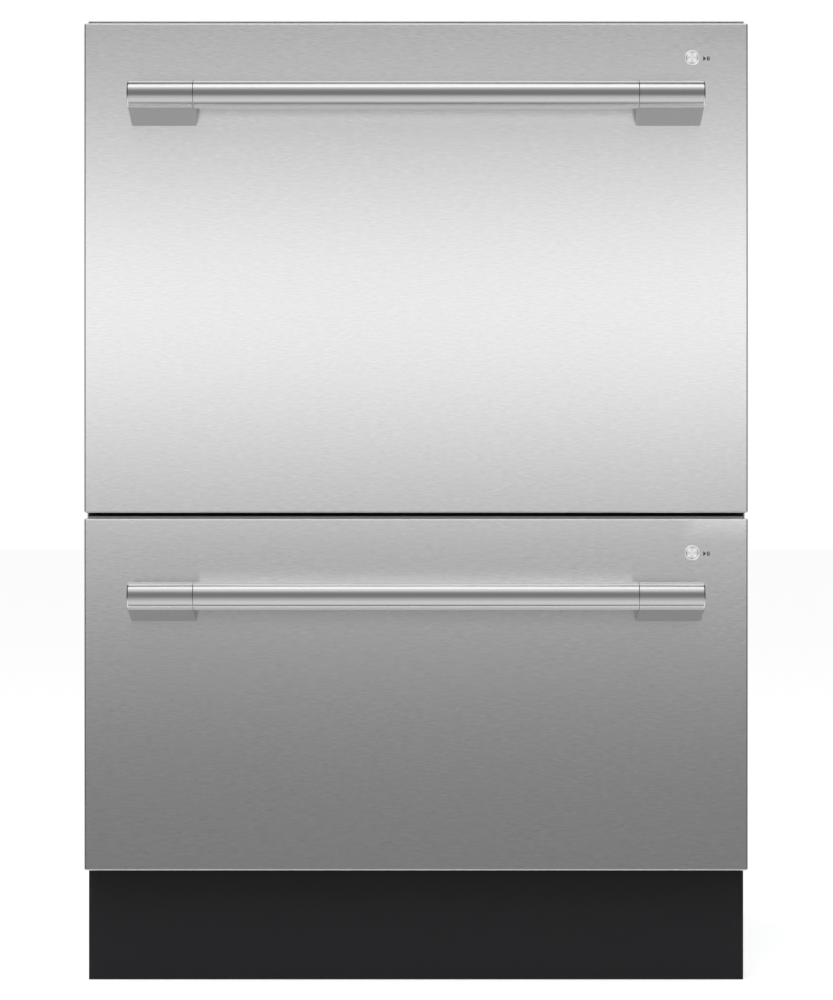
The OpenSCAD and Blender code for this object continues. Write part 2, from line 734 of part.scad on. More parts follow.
module handle_brackets(d) color(bright) both_sides() difference() {
  x0 = handle_len / 2 - bracket_w;
  translate([x0, y_face - bar_standoff, bar_z(d)]) rotate([90, 0, 90])
    linear_extrude(bracket_w) bracket_side();
  rod_x(x0 - 1, x0 + spigot_len, y_face - bar_standoff, bar_z(d), spigot_d);
}

module button_ring(d) color(bright) difference() {
  z = z_top(d) - button_drop;
  union() {
    rod_y(y_face - button_proud, y_face, button_x, z, ring_d);
    rod_y(y_face - eps, y_face + button_len - 1, button_x, z, barrel_d);
  }
  rod_y(y_face - 2, y_face + button_len, button_x, z, button_d + 2 * run_gap);
}

module button(d) color(bright) translate([0, y_face - button_proud, 0])
  rod_y(0, button_len, button_x, z_top(d) - button_drop, button_d);

// ---------- tub and wash system ----------

// A round-cornered basin shape whose walls lean in and whose floor edge is rounded
module basin(w, l, r, z0, z1, edge) hull() {
  translate([0, y_mid, z1]) linear_extrude(eps, $fn = hull_fn) rounded(w, l, r);
  for (a = [0:18:90]) {
    cut = 2 * (tub_draft + edge * (1 - cos(a)));
    translate([0, y_mid, z0 + edge * (1 - sin(a))]) linear_extrude(eps, $fn = hull_fn)
      rounded(w - cut, l - cut, max(r - cut / 2, 4));
  }
}

module tub(d) color(pale) {
  difference() {
    union() {
      basin(tub_w, tub_d, tub_corner, floor_z(d), rim_z(d) - eps, tub_edge);
      translate([0, y_mid, rim_z(d) - tub_flange_t]) linear_extrude(tub_flange_t)
        rounded(tub_w + 2 * tub_flange, tub_d + 2 * tub_flange, tub_corner + tub_flange);
      both_sides() block([tub_w / 2 - 12, y_tub + tub_corner, slide_z(d) + ledge_drop],
                         [x_ledge, y_tub + tub_d - tub_corner, slide_z(d) + ledge_drop + ledge_t]);
      // stiffening ribs under the rim and on the side ledges
      both_sides() for (y = spread(rib_count, tub_d, tub_corner + 12)) {
        block([tub_w / 2 - 8, y_mid + y - rib_t / 2, rim_z(d) - rib_h],
              [tub_w / 2 + tub_flange - 1, y_mid + y + rib_t / 2, rim_z(d) - tub_flange_t / 2]);
        block([tub_w / 2 - 10, y_mid + y - rib_t / 2, slide_z(d) + ledge_drop + ledge_t - 1],
              [tub_w / 2 + 12, y_mid + y + rib_t / 2, slide_z(d) + ledge_drop + ledge_t + 17]);
      }
      for (x = spread(rib_count, tub_w, tub_corner + 12))
        block([x - rib_t / 2, y_tub + tub_d - 8, rim_z(d) - rib_h],
              [x + rib_t / 2, y_tub + tub_d + tub_flange - 1, rim_z(d) - tub_flange_t / 2]);
    }
    basin(tub_w - 2 * tub_wall, tub_d - 2 * tub_wall, tub_corner - tub_wall,
          inner_floor_z(d), rim_z(d) + 1, tub_edge - tub_wall);
    rod_z(floor_z(d) - 1, inner_floor_z(d) + 1, 0, y_mid, sump_d);
    dispenser_window(d, -dispenser_lap, y_tub - 1, y_tub + 20);
  }
}
ledge_t = 5;

// Sump bowl, motor, drain pump and the post that the spray arm turns on
module wash_pump(d) color(black) {
  z1 = floor_z(d);
  z0 = z_bottom(d) + pump_gap;
  zp = z0 + bowl_d;
  translate([0, y_mid, 0]) {
    difference() {
      union() {
        translate([0, 0, z1 - 4]) cylinder(d = sump_d + 24, h = 4);
        translate([0, 0, z0 + 14]) cylinder(d1 = motor_d + 6, d2 = sump_d + 8, h = z1 - z0 - 16);
        translate([0, 0, z0]) cylinder(d = motor_d, h = 16);
        rod_x(30, sump_d / 2 + 52, pump_side, zp, drain_pump_d);
        rod_x(sump_d / 2 + 50, sump_d / 2 + 62, pump_side, zp, drain_pump_d - 8);
        rod_y(-sump_d / 2 - 30, 0, -pump_side, zp, drain_pump_d - 8);
      }
      translate([0, 0, z1 - bowl_d]) cylinder(d1 = motor_d - 10, d2 = sump_d - 6, h = bowl_d + 1);
    }
    rod_z(z1 - bowl_d - eps, arm_z(d) + arm_t + 3, 0, 0, arm_post_d);
    rod_z(z1 - bowl_d - eps, inner_floor_z(d) + filter_t + 1.5, 0, 0, arm_post_d + 10);
  }
}
bowl_d = 20;
pump_side = 22;
function arm_z(d) = inner_floor_z(d) + filter_t + 3;

module filter_plate(d) color(steel) translate([0, y_mid, inner_floor_z(d)]) difference() {
  cylinder(d = filter_d, h = filter_t);
  translate([0, 0, -1]) cylinder(d = arm_post_d + 12, h = filter_t + 2);
  for (ring = [0:3], i = [1:filter_holes + 6 * ring]) rotate(i * 360 / (filter_holes + 6 * ring))
    translate([ring_r(ring), 0, -1]) cylinder(d = filter_hole_d, h = filter_t + 2, $fn = 16);
}
function ring_r(ring) = sump_d / 2 * (0.42 + 0.15 * ring);

// Two tapering blades on a hub; each blade has a row of nozzles in its top
module spray_arm(d) color(grey) translate([0, y_mid, arm_z(d)]) difference() {
  tip_x = (arm_len - arm_tip_w) / 2;
  union() {
    for (s = [-1, 1]) hull() {
      translate([s * 8, 0, 1]) cylinder(d = arm_w, h = arm_t - 4, $fn = hull_fn);
      translate([s * 8, 0, 3]) cylinder(d = arm_w - 10, h = arm_t - 3, $fn = hull_fn);
      translate([s * tip_x, 0, 2]) cylinder(d = arm_tip_w, h = arm_t - 7, $fn = hull_fn);
      translate([s * tip_x, 0, 2]) cylinder(d = arm_tip_w - 8, h = arm_t - 4, $fn = hull_fn);
    }
    cylinder(d = arm_post_d + 14, h = arm_t + 2);
  }
  translate([0, 0, -1]) cylinder(d = arm_post_d + 2 * run_gap, h = arm_t + 4);
  for (s = [-1, 1], i = [0:4])
    translate([s * ((arm_len - arm_tip_w) / 2 - i * arm_len / 13), s * (i % 2) * 5, arm_t / 2])
      cylinder(d = nozzle_d, h = arm_t, $fn = 16);
}

// ---------- racks ----------

// A ring of wire: four straight runs and four bends
module wire_ring(w, l, r, z, dia) {
  for (s = [-1, 1]) {
    rod_x(-w / 2 + r + weld_gap, w / 2 - r - weld_gap, y_mid + s * (l / 2), z, dia);
    rod_y(y_mid - l / 2 + r + weld_gap, y_mid + l / 2 - r - weld_gap, s * w / 2, z, dia);
  }
  for (c = [[1, 1, 0], [-1, 1, 90], [-1, -1, 180], [1, -1, 270]])
    translate([c.x * (w / 2 - r), y_mid + c.y * (l / 2 - r), z]) rotate(c.z) rotate_extrude(angle = 90)
      translate([r, 0]) circle(d = dia, $fn = 24);
}

// Evenly spaced places over a length, with a margin at both ends
function spread(n, length, margin) =
  [for (i = [0:n - 1]) -length / 2 + margin + i * (length - 2 * margin) / (n - 1)];

module rack(d) color(coated) {
  w = rack_w - rim_wire_d;
  l = rack_d - rim_wire_d;
  wi = x_upright;
  li = l / 2 - rim_wire_d / 2 - wire_d / 2 - weld_gap;
  z0 = rack_z(d);
  z1 = z0 + rack_h(d);
  zc = z0 + wire_d + weld_gap;
  xs = spread(base_wires_along, w, rack_corner + 4);
  ys = spread(base_wires_across, l, rack_corner + 4);
  for (y = ys) rod_x(-wi - wire_d / 2, wi + wire_d / 2, y_mid + y, z0, wire_d);
  for (x = xs) rod_y(y_mid - li - wire_d / 2, y_mid + li + wire_d / 2, x, zc, wire_d);
  wire_ring(w, l, rack_corner, z1, rim_wire_d);
  wire_ring(w, l, rack_corner, (z0 + z1) / 2, rim_wire_d);
  for (s = [-1, 1]) {
    for (y = ys) rod_z(z0 + wire_d / 2 + weld_gap, z1 + rim_wire_d / 2, s * wi, y_mid + y, wire_d);
    for (x = xs) rod_z(zc + wire_d / 2 + weld_gap, z1 + rim_wire_d / 2, x, y_mid + s * li, wire_d);
  }
  // a wire and three eyes under each tine row
  for (x = tine_xs) {
    rod_y(y_mid - li - wire_d / 2, y_mid + li + wire_d / 2, x, zc, wire_d);
    for (i = [0.5, tine_count / 2 - 1, tine_count - 1.5])
      eye(x, y_mid - tine_reach + i * tine_pitch, spine_z(d), wire_d);
  }
  // the cup shelf's carrier wire with its eyes
  rod_y(y_mid - cup_len / 2 - 10, y_mid + cup_len / 2 + 10, -(wi - wire_d - weld_gap), cup_z(d), wire_d);
  for (i = [0.5, cup_wires - 1.5])
    eye(x_cup, y_mid + (i / (cup_wires - 1) - 0.5) * (cup_len - 2 * cup_end), cup_z(d), rim_wire_d);
  // feet on the tub's floor, clear of the spray arm's sweep
  for (sx = [-1, 1], y = [ys[0], ys[base_wires_across - 1]])
    rod_z(inner_floor_z(d), z0 - wire_d / 2 - weld_gap, sx * (w / 2 - rack_corner), y_mid + y, rack_foot_d);
}
rack_foot_d = 8;
x_upright = (rack_w - 2 * rim_wire_d - wire_d) / 2 - weld_gap;
tine_xs = [-tine_rows_gap / 2, tine_rows_gap / 2];
tine_reach = (tine_count - 1) * tine_pitch / 2;

// An eye round a turning wire that lies along Y
module eye(x, y, z, dia) difference() {
  rod_y(y - 3, y + 3, x, z, dia + 2 * soft_gap + 3);
  rod_y(y - 4, y + 4, x, z, dia + 2 * soft_gap);
}

tine_base = 2 * wire_d + 2 * weld_gap + soft_gap;
function spine_z(d) = rack_z(d) + tine_base;

// A row of upright wires on a spine that lies in the rack's clips
module tines(d, x) color(coated) {
  z = spine_z(d);
  rod_y(y_mid - tine_reach - spine_over, y_mid + tine_reach + spine_over, x, z, wire_d);
  for (i = [0:tine_count - 1])
    rod_z(z + wire_d / 2 + weld_gap, z + tine_h, x, y_mid - tine_reach + i * tine_pitch, wire_d);
}
spine_over = 8;

cup_drop = 16;  // depth of the cup shelf's hinge below the rim wire
cup_end = 8;
function cup_z(d) = rack_z(d) + rack_h(d) - cup_drop;
x_cup = -(x_upright - 1.5 * wire_d - weld_gap - rim_wire_d / 2 - soft_gap);

// A shelf of wires that swings up against the rack's left wall
module cup_rack(d) color(coated) {
  z = cup_z(d);
  rod_y(y_mid - cup_len / 2, y_mid + cup_len / 2, x_cup, z, rim_wire_d);
  rod_y(y_mid - cup_len / 2, y_mid + cup_len / 2, x_cup + cup_w, z, rim_wire_d);
  rod_y(y_mid - cup_len / 2, y_mid + cup_len / 2, x_cup + cup_w / 2, z, wire_d);
  for (y = spread(cup_wires, cup_len, cup_end))
    rod_x(x_cup, x_cup + cup_w, y_mid + y, z - (rim_wire_d + wire_d) / 2 - weld_gap, wire_d);
}

// ---------- cutlery basket and dispenser ----------

basket_room = 3;
x_basket = rack_w / 2 - rim_wire_d - 2 * wire_d - basket_room - basket_w / 2;
function basket_z(d) = rack_z(d) + 1.5 * wire_d + 2 * weld_gap;

module cutlery_basket(d) color(grey) translate([x_basket, y_mid, basket_z(d)]) difference() {
  cell = (basket_len - basket_wall) / basket_cells;
  low = 14;
  slot_h = basket_h / 2 - low - 6;
  linear_extrude(basket_h) rounded(basket_w, basket_len, 8);
  for (i = [0:basket_cells - 1]) {
    mid = (basket_wall - basket_len) / 2 + cell * (i + 0.5);
    translate([0, mid, basket_wall]) linear_extrude(basket_h)
      rounded(basket_w - 2 * basket_wall, cell - basket_wall, 6);
    // two rows of drain slots in both long walls
    for (k = [-1:1], z = [low, basket_h / 2 + 4])
      translate([-basket_w, mid + k * cell / 4 - basket_slot_w / 2, z])
        cube([2 * basket_w, basket_slot_w, slot_h]);
  }
}

cup_half = 44;  // half the distance between the flap's two ears
ear_len = 7;
flap_out = 6.5;  // distance of the flap's pin in front of the dispenser's face
flap_drop = 7;  // depth of the flap's pin below the top of the dispenser
dispenser_lap = 6;  // how far the dispenser's face covers the tub round its window
dispenser_face_t = 3;
dispenser_lean = 0.35;
y_cup = y_tub + tub_wall + tub_draft * dispenser_lean + soft_gap;
y_flap = y_cup + flap_out;
function dispenser_z(d) = rim_z(d) - dispenser_drop - dispenser_h;
function flap_z(d) = rim_z(d) - dispenser_drop - flap_drop;

// The dispenser's outline grown by a margin, from y0 to y1
module dispenser_window(d, grow, y0, y1)
  block([-dispenser_w / 2 - grow, y0, dispenser_z(d) - grow],
        [dispenser_w / 2 + grow, y1, dispenser_z(d) + dispenser_h + grow]);

module dispenser(d) color(grey) difference() {
  union() {
    dispenser_window(d, -dispenser_lap - soft_gap, y_cup - cup_depth - 2, y_cup + 1);
    dispenser_window(d, 0, y_cup, y_cup + dispenser_face_t);
    both_sides() block([cup_half + 1, y_cup + 2, flap_z(d) - 4],
                       [cup_half + 5, y_cup + dispenser_face_t + ear_len, flap_z(d) + 4]);
  }
  block([-cup_half + 8, y_cup - cup_depth, dispenser_z(d) + 10],
        [cup_half - 8, y_cup + 4, dispenser_z(d) + dispenser_h - 18]);
  rod_x(-cup_half - 6, cup_half + 6, y_flap, flap_z(d), flap_pin_d + 2 * run_gap);
}

// The flap hangs on its pin in front of the cup
module dispenser_flap(d) color(pale) {
  rod_x(-cup_half - 4.5, cup_half + 4.5, y_flap, flap_z(d), flap_pin_d);
  rod_x(-cup_half + 0.5, cup_half - 0.5, y_flap, flap_z(d), flap_pin_d + 2);
  block([-cup_half + 0.5, y_flap - flap_t / 2, dispenser_z(d) + 6],
        [cup_half - 0.5, y_flap + flap_t / 2, flap_z(d)]);
}

// ---------- the two drawers ----------

module upper_rails() rails(UPPER);
module upper_lid_lifters() lid_lifters(UPPER);
module upper_middle_slides() middle_slides(UPPER);
module upper_drawer_slides() drawer_slides(UPPER);
module upper_front_skin() front_skin(UPPER);
module upper_front_liner() front_liner(UPPER);
module upper_handle_bar() handle_bar(UPPER);
module upper_handle_brackets() handle_brackets(UPPER);
module upper_button_ring() button_ring(UPPER);
module upper_button() button(UPPER);
module upper_tub() tub(UPPER);
module upper_wash_pump() wash_pump(UPPER);
module upper_filter_plate() filter_plate(UPPER);
module upper_spray_arm() spray_arm(UPPER);
module upper_rack() rack(UPPER);
module upper_tines_left() tines(UPPER, tine_xs[0]);
module upper_tines_right() tines(UPPER, tine_xs[1]);
module upper_cup_rack() cup_rack(UPPER);
module upper_cutlery_basket() cutlery_basket(UPPER);
module upper_dispenser() dispenser(UPPER);
module upper_dispenser_flap() dispenser_flap(UPPER);
module upper_lid() lid(UPPER);
module upper_lid_seal() lid_seal(UPPER);

module lower_rails() rails(LOWER);
module lower_lid_lifters() lid_lifters(LOWER);
module lower_middle_slides() middle_slides(LOWER);
module lower_drawer_slides() drawer_slides(LOWER);
module lower_front_skin() front_skin(LOWER);
module lower_front_liner() front_liner(LOWER);
module lower_handle_bar() handle_bar(LOWER);
module lower_handle_brackets() handle_brackets(LOWER);
module lower_button_ring() button_ring(LOWER);
module lower_button() button(LOWER);
module lower_tub() tub(LOWER);
module lower_wash_pump() wash_pump(LOWER);
module lower_filter_plate() filter_plate(LOWER);
module lower_spray_arm() spray_arm(LOWER);
module lower_rack() rack(LOWER);
module lower_tines_left() tines(LOWER, tine_xs[0]);
module lower_tines_right() tines(LOWER, tine_xs[1]);
module lower_cup_rack() cup_rack(LOWER);
module lower_cutlery_basket() cutlery_basket(LOWER);
module lower_dispenser() dispenser(LOWER);
module lower_dispenser_flap() dispenser_flap(LOWER);
module lower_lid() lid(LOWER);
module lower_lid_seal() lid_seal(LOWER);

side_panel_left();
side_panel_right();
rear_panel();
top_panel();
base_tray();
cross_rail();
kick_panel();
water_inlet_valve();
drain_connector();
mains_box();
foot_front_left();
foot_front_right();
foot_rear_left();
foot_rear_right();
upper_rails();
upper_lid_lifters();
upper_middle_slides();
upper_drawer_slides();
upper_front_skin();
upper_front_liner();
upper_handle_bar();
upper_handle_brackets();
upper_button_ring();
upper_button();
upper_tub();
upper_wash_pump();
upper_filter_plate();
upper_spray_arm();
upper_rack();
upper_tines_left();
upper_tines_right();
upper_cup_rack();
upper_cutlery_basket();
upper_dispenser();
upper_dispenser_flap();
upper_lid();
upper_lid_seal();
lower_rails();
lower_lid_lifters();
lower_middle_slides();
lower_drawer_slides();
lower_front_skin();
lower_front_liner();
lower_handle_bar();
lower_handle_brackets();
lower_button_ring();
lower_button();
lower_tub();
lower_wash_pump();
lower_filter_plate();
lower_spray_arm();
lower_rack();
lower_tines_left();
lower_tines_right();
lower_cup_rack();
lower_cutlery_basket();
lower_dispenser();
lower_dispenser_flap();
lower_lid();
lower_lid_seal();
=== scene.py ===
# %% [markdown]
# # A double dishwasher drawer, dressed over its CAD frame
# The frame comes from the solid model: every piece of it is in place, in metres, with the
# fronts facing -Y and +X to the right. This lesson adds what the eye wants: steel that is
# really brushed, bent wires, moulded tubs and soft light.

# %% Load the frame
import math
import bmesh
import bpy
from mathutils import Matrix, Vector


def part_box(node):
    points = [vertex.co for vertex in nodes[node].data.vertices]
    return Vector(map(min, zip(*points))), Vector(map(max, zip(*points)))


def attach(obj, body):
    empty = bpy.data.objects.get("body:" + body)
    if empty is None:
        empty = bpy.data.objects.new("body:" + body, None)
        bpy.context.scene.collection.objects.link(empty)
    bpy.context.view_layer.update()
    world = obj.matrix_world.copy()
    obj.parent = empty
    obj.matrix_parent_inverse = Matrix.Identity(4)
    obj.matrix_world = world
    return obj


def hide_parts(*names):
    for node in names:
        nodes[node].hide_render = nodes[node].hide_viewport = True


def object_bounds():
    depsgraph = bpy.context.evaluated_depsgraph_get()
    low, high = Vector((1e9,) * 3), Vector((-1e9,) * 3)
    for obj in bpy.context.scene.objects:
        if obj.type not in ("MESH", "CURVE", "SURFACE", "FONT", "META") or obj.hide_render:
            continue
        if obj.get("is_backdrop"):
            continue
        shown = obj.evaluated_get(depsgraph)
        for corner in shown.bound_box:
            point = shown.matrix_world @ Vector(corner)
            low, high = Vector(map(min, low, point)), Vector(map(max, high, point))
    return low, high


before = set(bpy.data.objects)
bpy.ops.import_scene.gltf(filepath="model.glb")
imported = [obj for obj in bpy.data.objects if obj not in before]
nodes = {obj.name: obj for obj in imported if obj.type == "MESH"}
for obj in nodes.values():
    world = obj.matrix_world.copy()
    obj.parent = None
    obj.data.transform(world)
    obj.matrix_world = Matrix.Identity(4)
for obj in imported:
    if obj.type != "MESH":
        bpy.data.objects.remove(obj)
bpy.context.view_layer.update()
scene = bpy.context.scene
MM = 0.001
DRAWERS = ("upper", "lower")

# %% [markdown]
# ## Camera
# The photograph looks straight at the fronts, level, from about as high as the middle of the
# machine, and the handles show hardly any perspective, so the lens is long. At the face of
# the fronts one pixel is 0.903 mm: the picture's 1000 rows cover 902.8 mm there.

# %% Camera
DISTANCE = 3.4
EYE_HEIGHT = 0.4377
ASIDE = 0.4 * MM  # the machine stands half a pixel left of the picture's middle
SEEN_HEIGHT = 0.9028
SENSOR = 36.0
y_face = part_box("upper_front_skin")[0].y
eye = bpy.data.cameras.new("camera")
eye.sensor_width = SENSOR
eye.lens = SENSOR * DISTANCE / SEEN_HEIGHT
camera = bpy.data.objects.new("camera", eye)
camera.location = (ASIDE, y_face - DISTANCE, EYE_HEIGHT)
camera.rotation_euler = (math.radians(90), 0, 0)
scene.collection.objects.link(camera)
scene.camera = camera
scene.view_settings.view_transform = "Standard"
print("lens in mm:", round(eye.lens, 2))

# %% [markdown]
# ## Colours and nodes
# Colours are written as sRGB hex values, as a paint chart gives them, and one function turns
# them to the linear values that the shaders use. A second small function adds one node with
# its settings, values and links, and another feeds sockets to a node that is there already.

# %% Colour and node helpers
def paint(hexa):
    """The linear colour, with its alpha, of an sRGB hex value."""
    parts = [int(hexa[i:i + 2], 16) / 255 for i in (0, 2, 4)]
    return (*[c / 12.92 if c < 0.04045 else ((c + 0.055) / 1.055) ** 2.4 for c in parts], 1.0)


WHITE = paint("FFFFFF")


def feed(tree, node, links):
    """Links sockets to a node's inputs, by their names."""
    for key, socket in links.items():
        tree.links.new(socket, node.inputs[key])


def add(tree, kind, values=None, links=None, **settings):
    """Adds a node with its settings, values and links."""
    node = tree.nodes.new("ShaderNode" + kind)
    for key, value in settings.items():
        setattr(node, key, value)
    for key, value in (values or {}).items():
        node.inputs[key].default_value = value
    feed(tree, node, links or {})
    return node


def start(name, color, rough, **values):
    """A material with one Principled shader, its tree, the shader and the place on the object."""
    material = bpy.data.materials.new(name)
    material.use_nodes = True
    tree = material.node_tree
    tree.nodes.clear()
    shader = add(tree, "BsdfPrincipled", {"Base Color": paint(color), "Roughness": rough})
    for key, value in values.items():
        shader.inputs[key.replace("_", " ")].default_value = value
    add(tree, "OutputMaterial", links={"Surface": shader.outputs["BSDF"]})
    material.diffuse_color = paint(color)
    return material, tree, shader, add(tree, "TexCoord").outputs["Object"]


# %% [markdown]
# ## Studio
# Steel shows the room round it, so the room is chosen from what the steel shows in the
# photograph. The handle bars are round: each row of a bar looks at its own height of the room,
# and their bands give its brightness from the ground up to the zenith. It is dark level with
# the machine, pale below, and a long lamp hangs overhead. The world holds that as a ramp over
# elevation for reflections from the front, and is plain and bright at the sides and behind, with
# one dim band high up. Black flags hang at the sides from overhead to a little below level, as
# they often do round steel: they draw the thin dark line along every folded edge. The camera
# sees plain white, and soft light comes from all round.

# %% Brightness by height
def heights(tree, stops, low, high, value):
    """A colour ramp over value, which runs from low to high; stops are (value, brightness)."""
    span = add(tree, "MapRange", {"From Min": low, "From Max": high}, {"Value": value})
    node = add(tree, "ValToRGB", links={"Fac": span.outputs["Result"]})
    while len(node.color_ramp.elements) > 1:
        node.color_ramp.elements.remove(node.color_ramp.elements[0])
    for i, (height, bright) in enumerate(stops):
        at = (height - low) / (high - low)
        stop = node.color_ramp.elements[0] if i == 0 else node.color_ramp.elements.new(at)
        stop.position = at
        stop.color = (bright, bright, bright, 1)
    return node.outputs["Color"]


# %% World
# In front, the room's brightness by elevation, in degrees, and its share by the azimuth from -Y.
ROOM = [
    (-90, 0.0), (-84, 0.03), (-77, 0.36), (-70, 0.60), (-60, 0.70), (-50, 0.71), (-40, 0.65),
    (-30, 0.52), (-20, 0.28), (-10, 0.14), (0, 0.19), (10, 0.20), (20, 0.21), (30, 0.26),
    (40, 0.45), (50, 0.74), (60, 0.72), (70, 0.54), (80, 0.66), (90, 0.80),
]
FRONT = [(0, 1.0), (60, 1.0), (79, 0.0), (180, 0.0)]
# At the sides and behind, the brightness by azimuth, and its share by elevation.
PLAIN = [(0, 0.0), (60, 0.0), (79, 0.9), (180, 0.9)]
BEHIND = [(-90, 1.0), (66, 1.0), (71, 0.35), (80, 0.35), (86, 1.0), (90, 1.0)]
# What the flags let through by azimuth, and where they end by elevation.
FLAG = [(0, 1.0), (42, 1.0), (48, 0.03), (150, 0.03), (155, 1.0), (180, 1.0)]
FLAG_HEIGHT = [(-90, 1.0), (-15, 1.0), (-9, 0.0), (90, 0.0)]
AMBIENT = 0.62
world = bpy.data.worlds.new("studio")
scene.world = world
world.use_nodes = True
sky = world.node_tree
sky.nodes.clear()
toward = add(sky, "TexCoord")
split = add(sky, "SeparateXYZ", links={"Vector": toward.outputs["Generated"]})
tilt = add(sky, "Math", links={0: split.outputs["Z"]}, operation="ARCSINE")
up = add(sky, "Math", {1: 180 / math.pi}, {0: tilt.outputs[0]}, operation="MULTIPLY").outputs[0]
aside = add(sky, "Math", links={0: split.outputs["X"]}, operation="ABSOLUTE")
ahead_of = add(sky, "Math", {1: -1.0}, {0: split.outputs["Y"]}, operation="MULTIPLY")
swing = add(sky, "Math", links={0: aside.outputs[0], 1: ahead_of.outputs[0]}, operation="ARCTAN2")
about = add(sky, "Math", {1: 180 / math.pi}, {0: swing.outputs[0]}, operation="MULTIPLY").outputs[0]
front = add(sky, "VectorMath", operation="MULTIPLY",
            links={0: heights(sky, ROOM, -90, 90, up), 1: heights(sky, FRONT, 0, 180, about)})
back = add(sky, "VectorMath", operation="MULTIPLY",
           links={0: heights(sky, BEHIND, -90, 90, up), 1: heights(sky, PLAIN, 0, 180, about)})
every = add(sky, "VectorMath", operation="ADD",
            links={0: front.outputs["Vector"], 1: back.outputs["Vector"]})
clear = add(sky, "VectorMath", operation="MAXIMUM",
            links={0: heights(sky, FLAG, 0, 180, about), 1: heights(sky, FLAG_HEIGHT, -90, 90, up)})
whole = add(sky, "VectorMath", operation="MULTIPLY",
            links={0: every.outputs["Vector"], 1: clear.outputs["Vector"]})
ray = add(sky, "LightPath")
seen = add(sky, "Math", operation="MAXIMUM",
           links={0: ray.outputs["Is Camera Ray"], 1: ray.outputs["Is Transmission Ray"]})
soft = add(sky, "Background", {"Color": WHITE, "Strength": AMBIENT})
mirror = add(sky, "Background", links={"Color": whole.outputs["Vector"]})
plain = add(sky, "Background", {"Color": WHITE, "Strength": 1.0})
lit = add(sky, "MixShader",
          links={0: ray.outputs["Is Glossy Ray"], 1: soft.outputs[0], 2: mirror.outputs[0]})
all_rays = add(sky, "MixShader", links={0: seen.outputs[0], 1: lit.outputs[0], 2: plain.outputs[0]})
add(sky, "OutputWorld", links={"Surface": all_rays.outputs[0]})
print("world with", len(ROOM), "heights")

# %% [markdown]
# The overhead lamp is a white sheet 2.4 m up, in front of the machine. The flat doors need one
# thing more: they are brightest a little above the middle of the upper one and fade towards
# top and bottom, in a room that the bars show to be dark at that level. Sheet metal doors are
# lit on their own in such pictures, so a round tent of thin paper, 1.4 m from the middle and
# with one bright belt, is linked to the two doors alone. Light linking does the same for three
# more sheets: a faint one far in front for the handles, some before the flags for all that isn't
# a front, because they would leave it black, and a little dome for each button. Reflections
# see these sheets; nothing else does.

# %% Glowing sheets that only reflections see
def glowing(name, bm, build):
    """A see-through sheet that glows; build(tree, glow) sets the strength of its Emission."""
    mesh = bpy.data.meshes.new(name)
    bm.to_mesh(mesh)
    bm.free()
    obj = bpy.data.objects.new(name, mesh)
    scene.collection.objects.link(obj)
    obj.visible_camera = obj.visible_diffuse = obj.visible_shadow = False
    obj.visible_transmission = obj.visible_volume_scatter = False
    obj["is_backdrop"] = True
    material = bpy.data.materials.new(name + "_glow")
    material.use_nodes = True
    material.cycles.emission_sampling = "NONE"
    tree = material.node_tree
    tree.nodes.clear()
    glow = add(tree, "Emission", {"Color": WHITE})
    through = add(tree, "BsdfTransparent")
    both = add(tree, "AddShader", links={0: glow.outputs[0], 1: through.outputs[0]})
    add(tree, "OutputMaterial", links={"Surface": both.outputs[0]})
    build(tree, glow)
    mesh.materials.append(material)
    return obj


def only_for(sheet, name):
    """Light linking: this sheet shows in the reflections of this collection's objects alone."""
    group = bpy.data.collections.new(name)
    sheet.light_linking.receiver_collection = group
    return group


# %% Overhead lamp sheet
LAMP_GLOW = 0.55


def lamp_sheet(tree, glow):
    glow.inputs["Strength"].default_value = LAMP_GLOW


bm = bmesh.new()
bmesh.ops.create_grid(bm, x_segments=1, y_segments=1, size=0.5,
                      matrix=Matrix.Translation((0, -0.9, 2.4)) @ Matrix.Diagonal((4.0, 0.9, 1, 1)))
glowing("overhead_sheet", bm, lamp_sheet)

# %% Light tent of the doors
TENT_R, TENT_LOW, TENT_HIGH = 1.4, 0.0, 1.8
TENT_ARC = 45  # degrees to each side: beyond it the folded side edges see the flags
TENT = [  # height in metres, brightness
    (0.0, 0.0), (0.18, 0.0), (0.27, 0.15), (0.36, 0.23), (0.45, 0.37), (0.54, 0.74), (0.63, 1.10),
    (0.72, 1.09), (0.81, 0.72), (0.90, 0.29), (0.99, 0.12), (1.08, 0.17), (1.17, 0.27),
    (1.26, 0.34), (1.40, 0.39), (1.53, 0.37), (1.65, 0.25), (1.80, 0.0),
]


def tent_belt(tree, glow):
    place = add(tree, "SeparateXYZ", links={"Vector": add(tree, "TexCoord").outputs["Object"]})
    feed(tree, glow, {"Strength": heights(tree, TENT, TENT_LOW, TENT_HIGH, place.outputs["Z"])})


def round_wall(radius, low, high, keep):
    """A piece of a round wall: keep(x, y) picks its faces by their direction from the middle."""
    bm = bmesh.new()
    bmesh.ops.create_cone(bm, cap_ends=False, segments=128, radius1=radius, radius2=radius,
                          depth=high - low, matrix=Matrix.Translation((0, 0, (high + low) / 2)))
    middles = [(f, f.calc_center_median() / radius) for f in bm.faces]
    bmesh.ops.delete(bm, geom=[f for f, m in middles if not keep(m.x, m.y)], context="FACES")
    return bm


def ahead(arc):
    """A keep for round_wall: what lies within so many degrees of straight ahead."""
    return lambda x, y: y < -math.cos(math.radians(arc))


tent = glowing("light_tent", round_wall(TENT_R, TENT_LOW, TENT_HIGH, ahead(TENT_ARC)), tent_belt)
fronts = only_for(tent, "lit_by_the_tent")

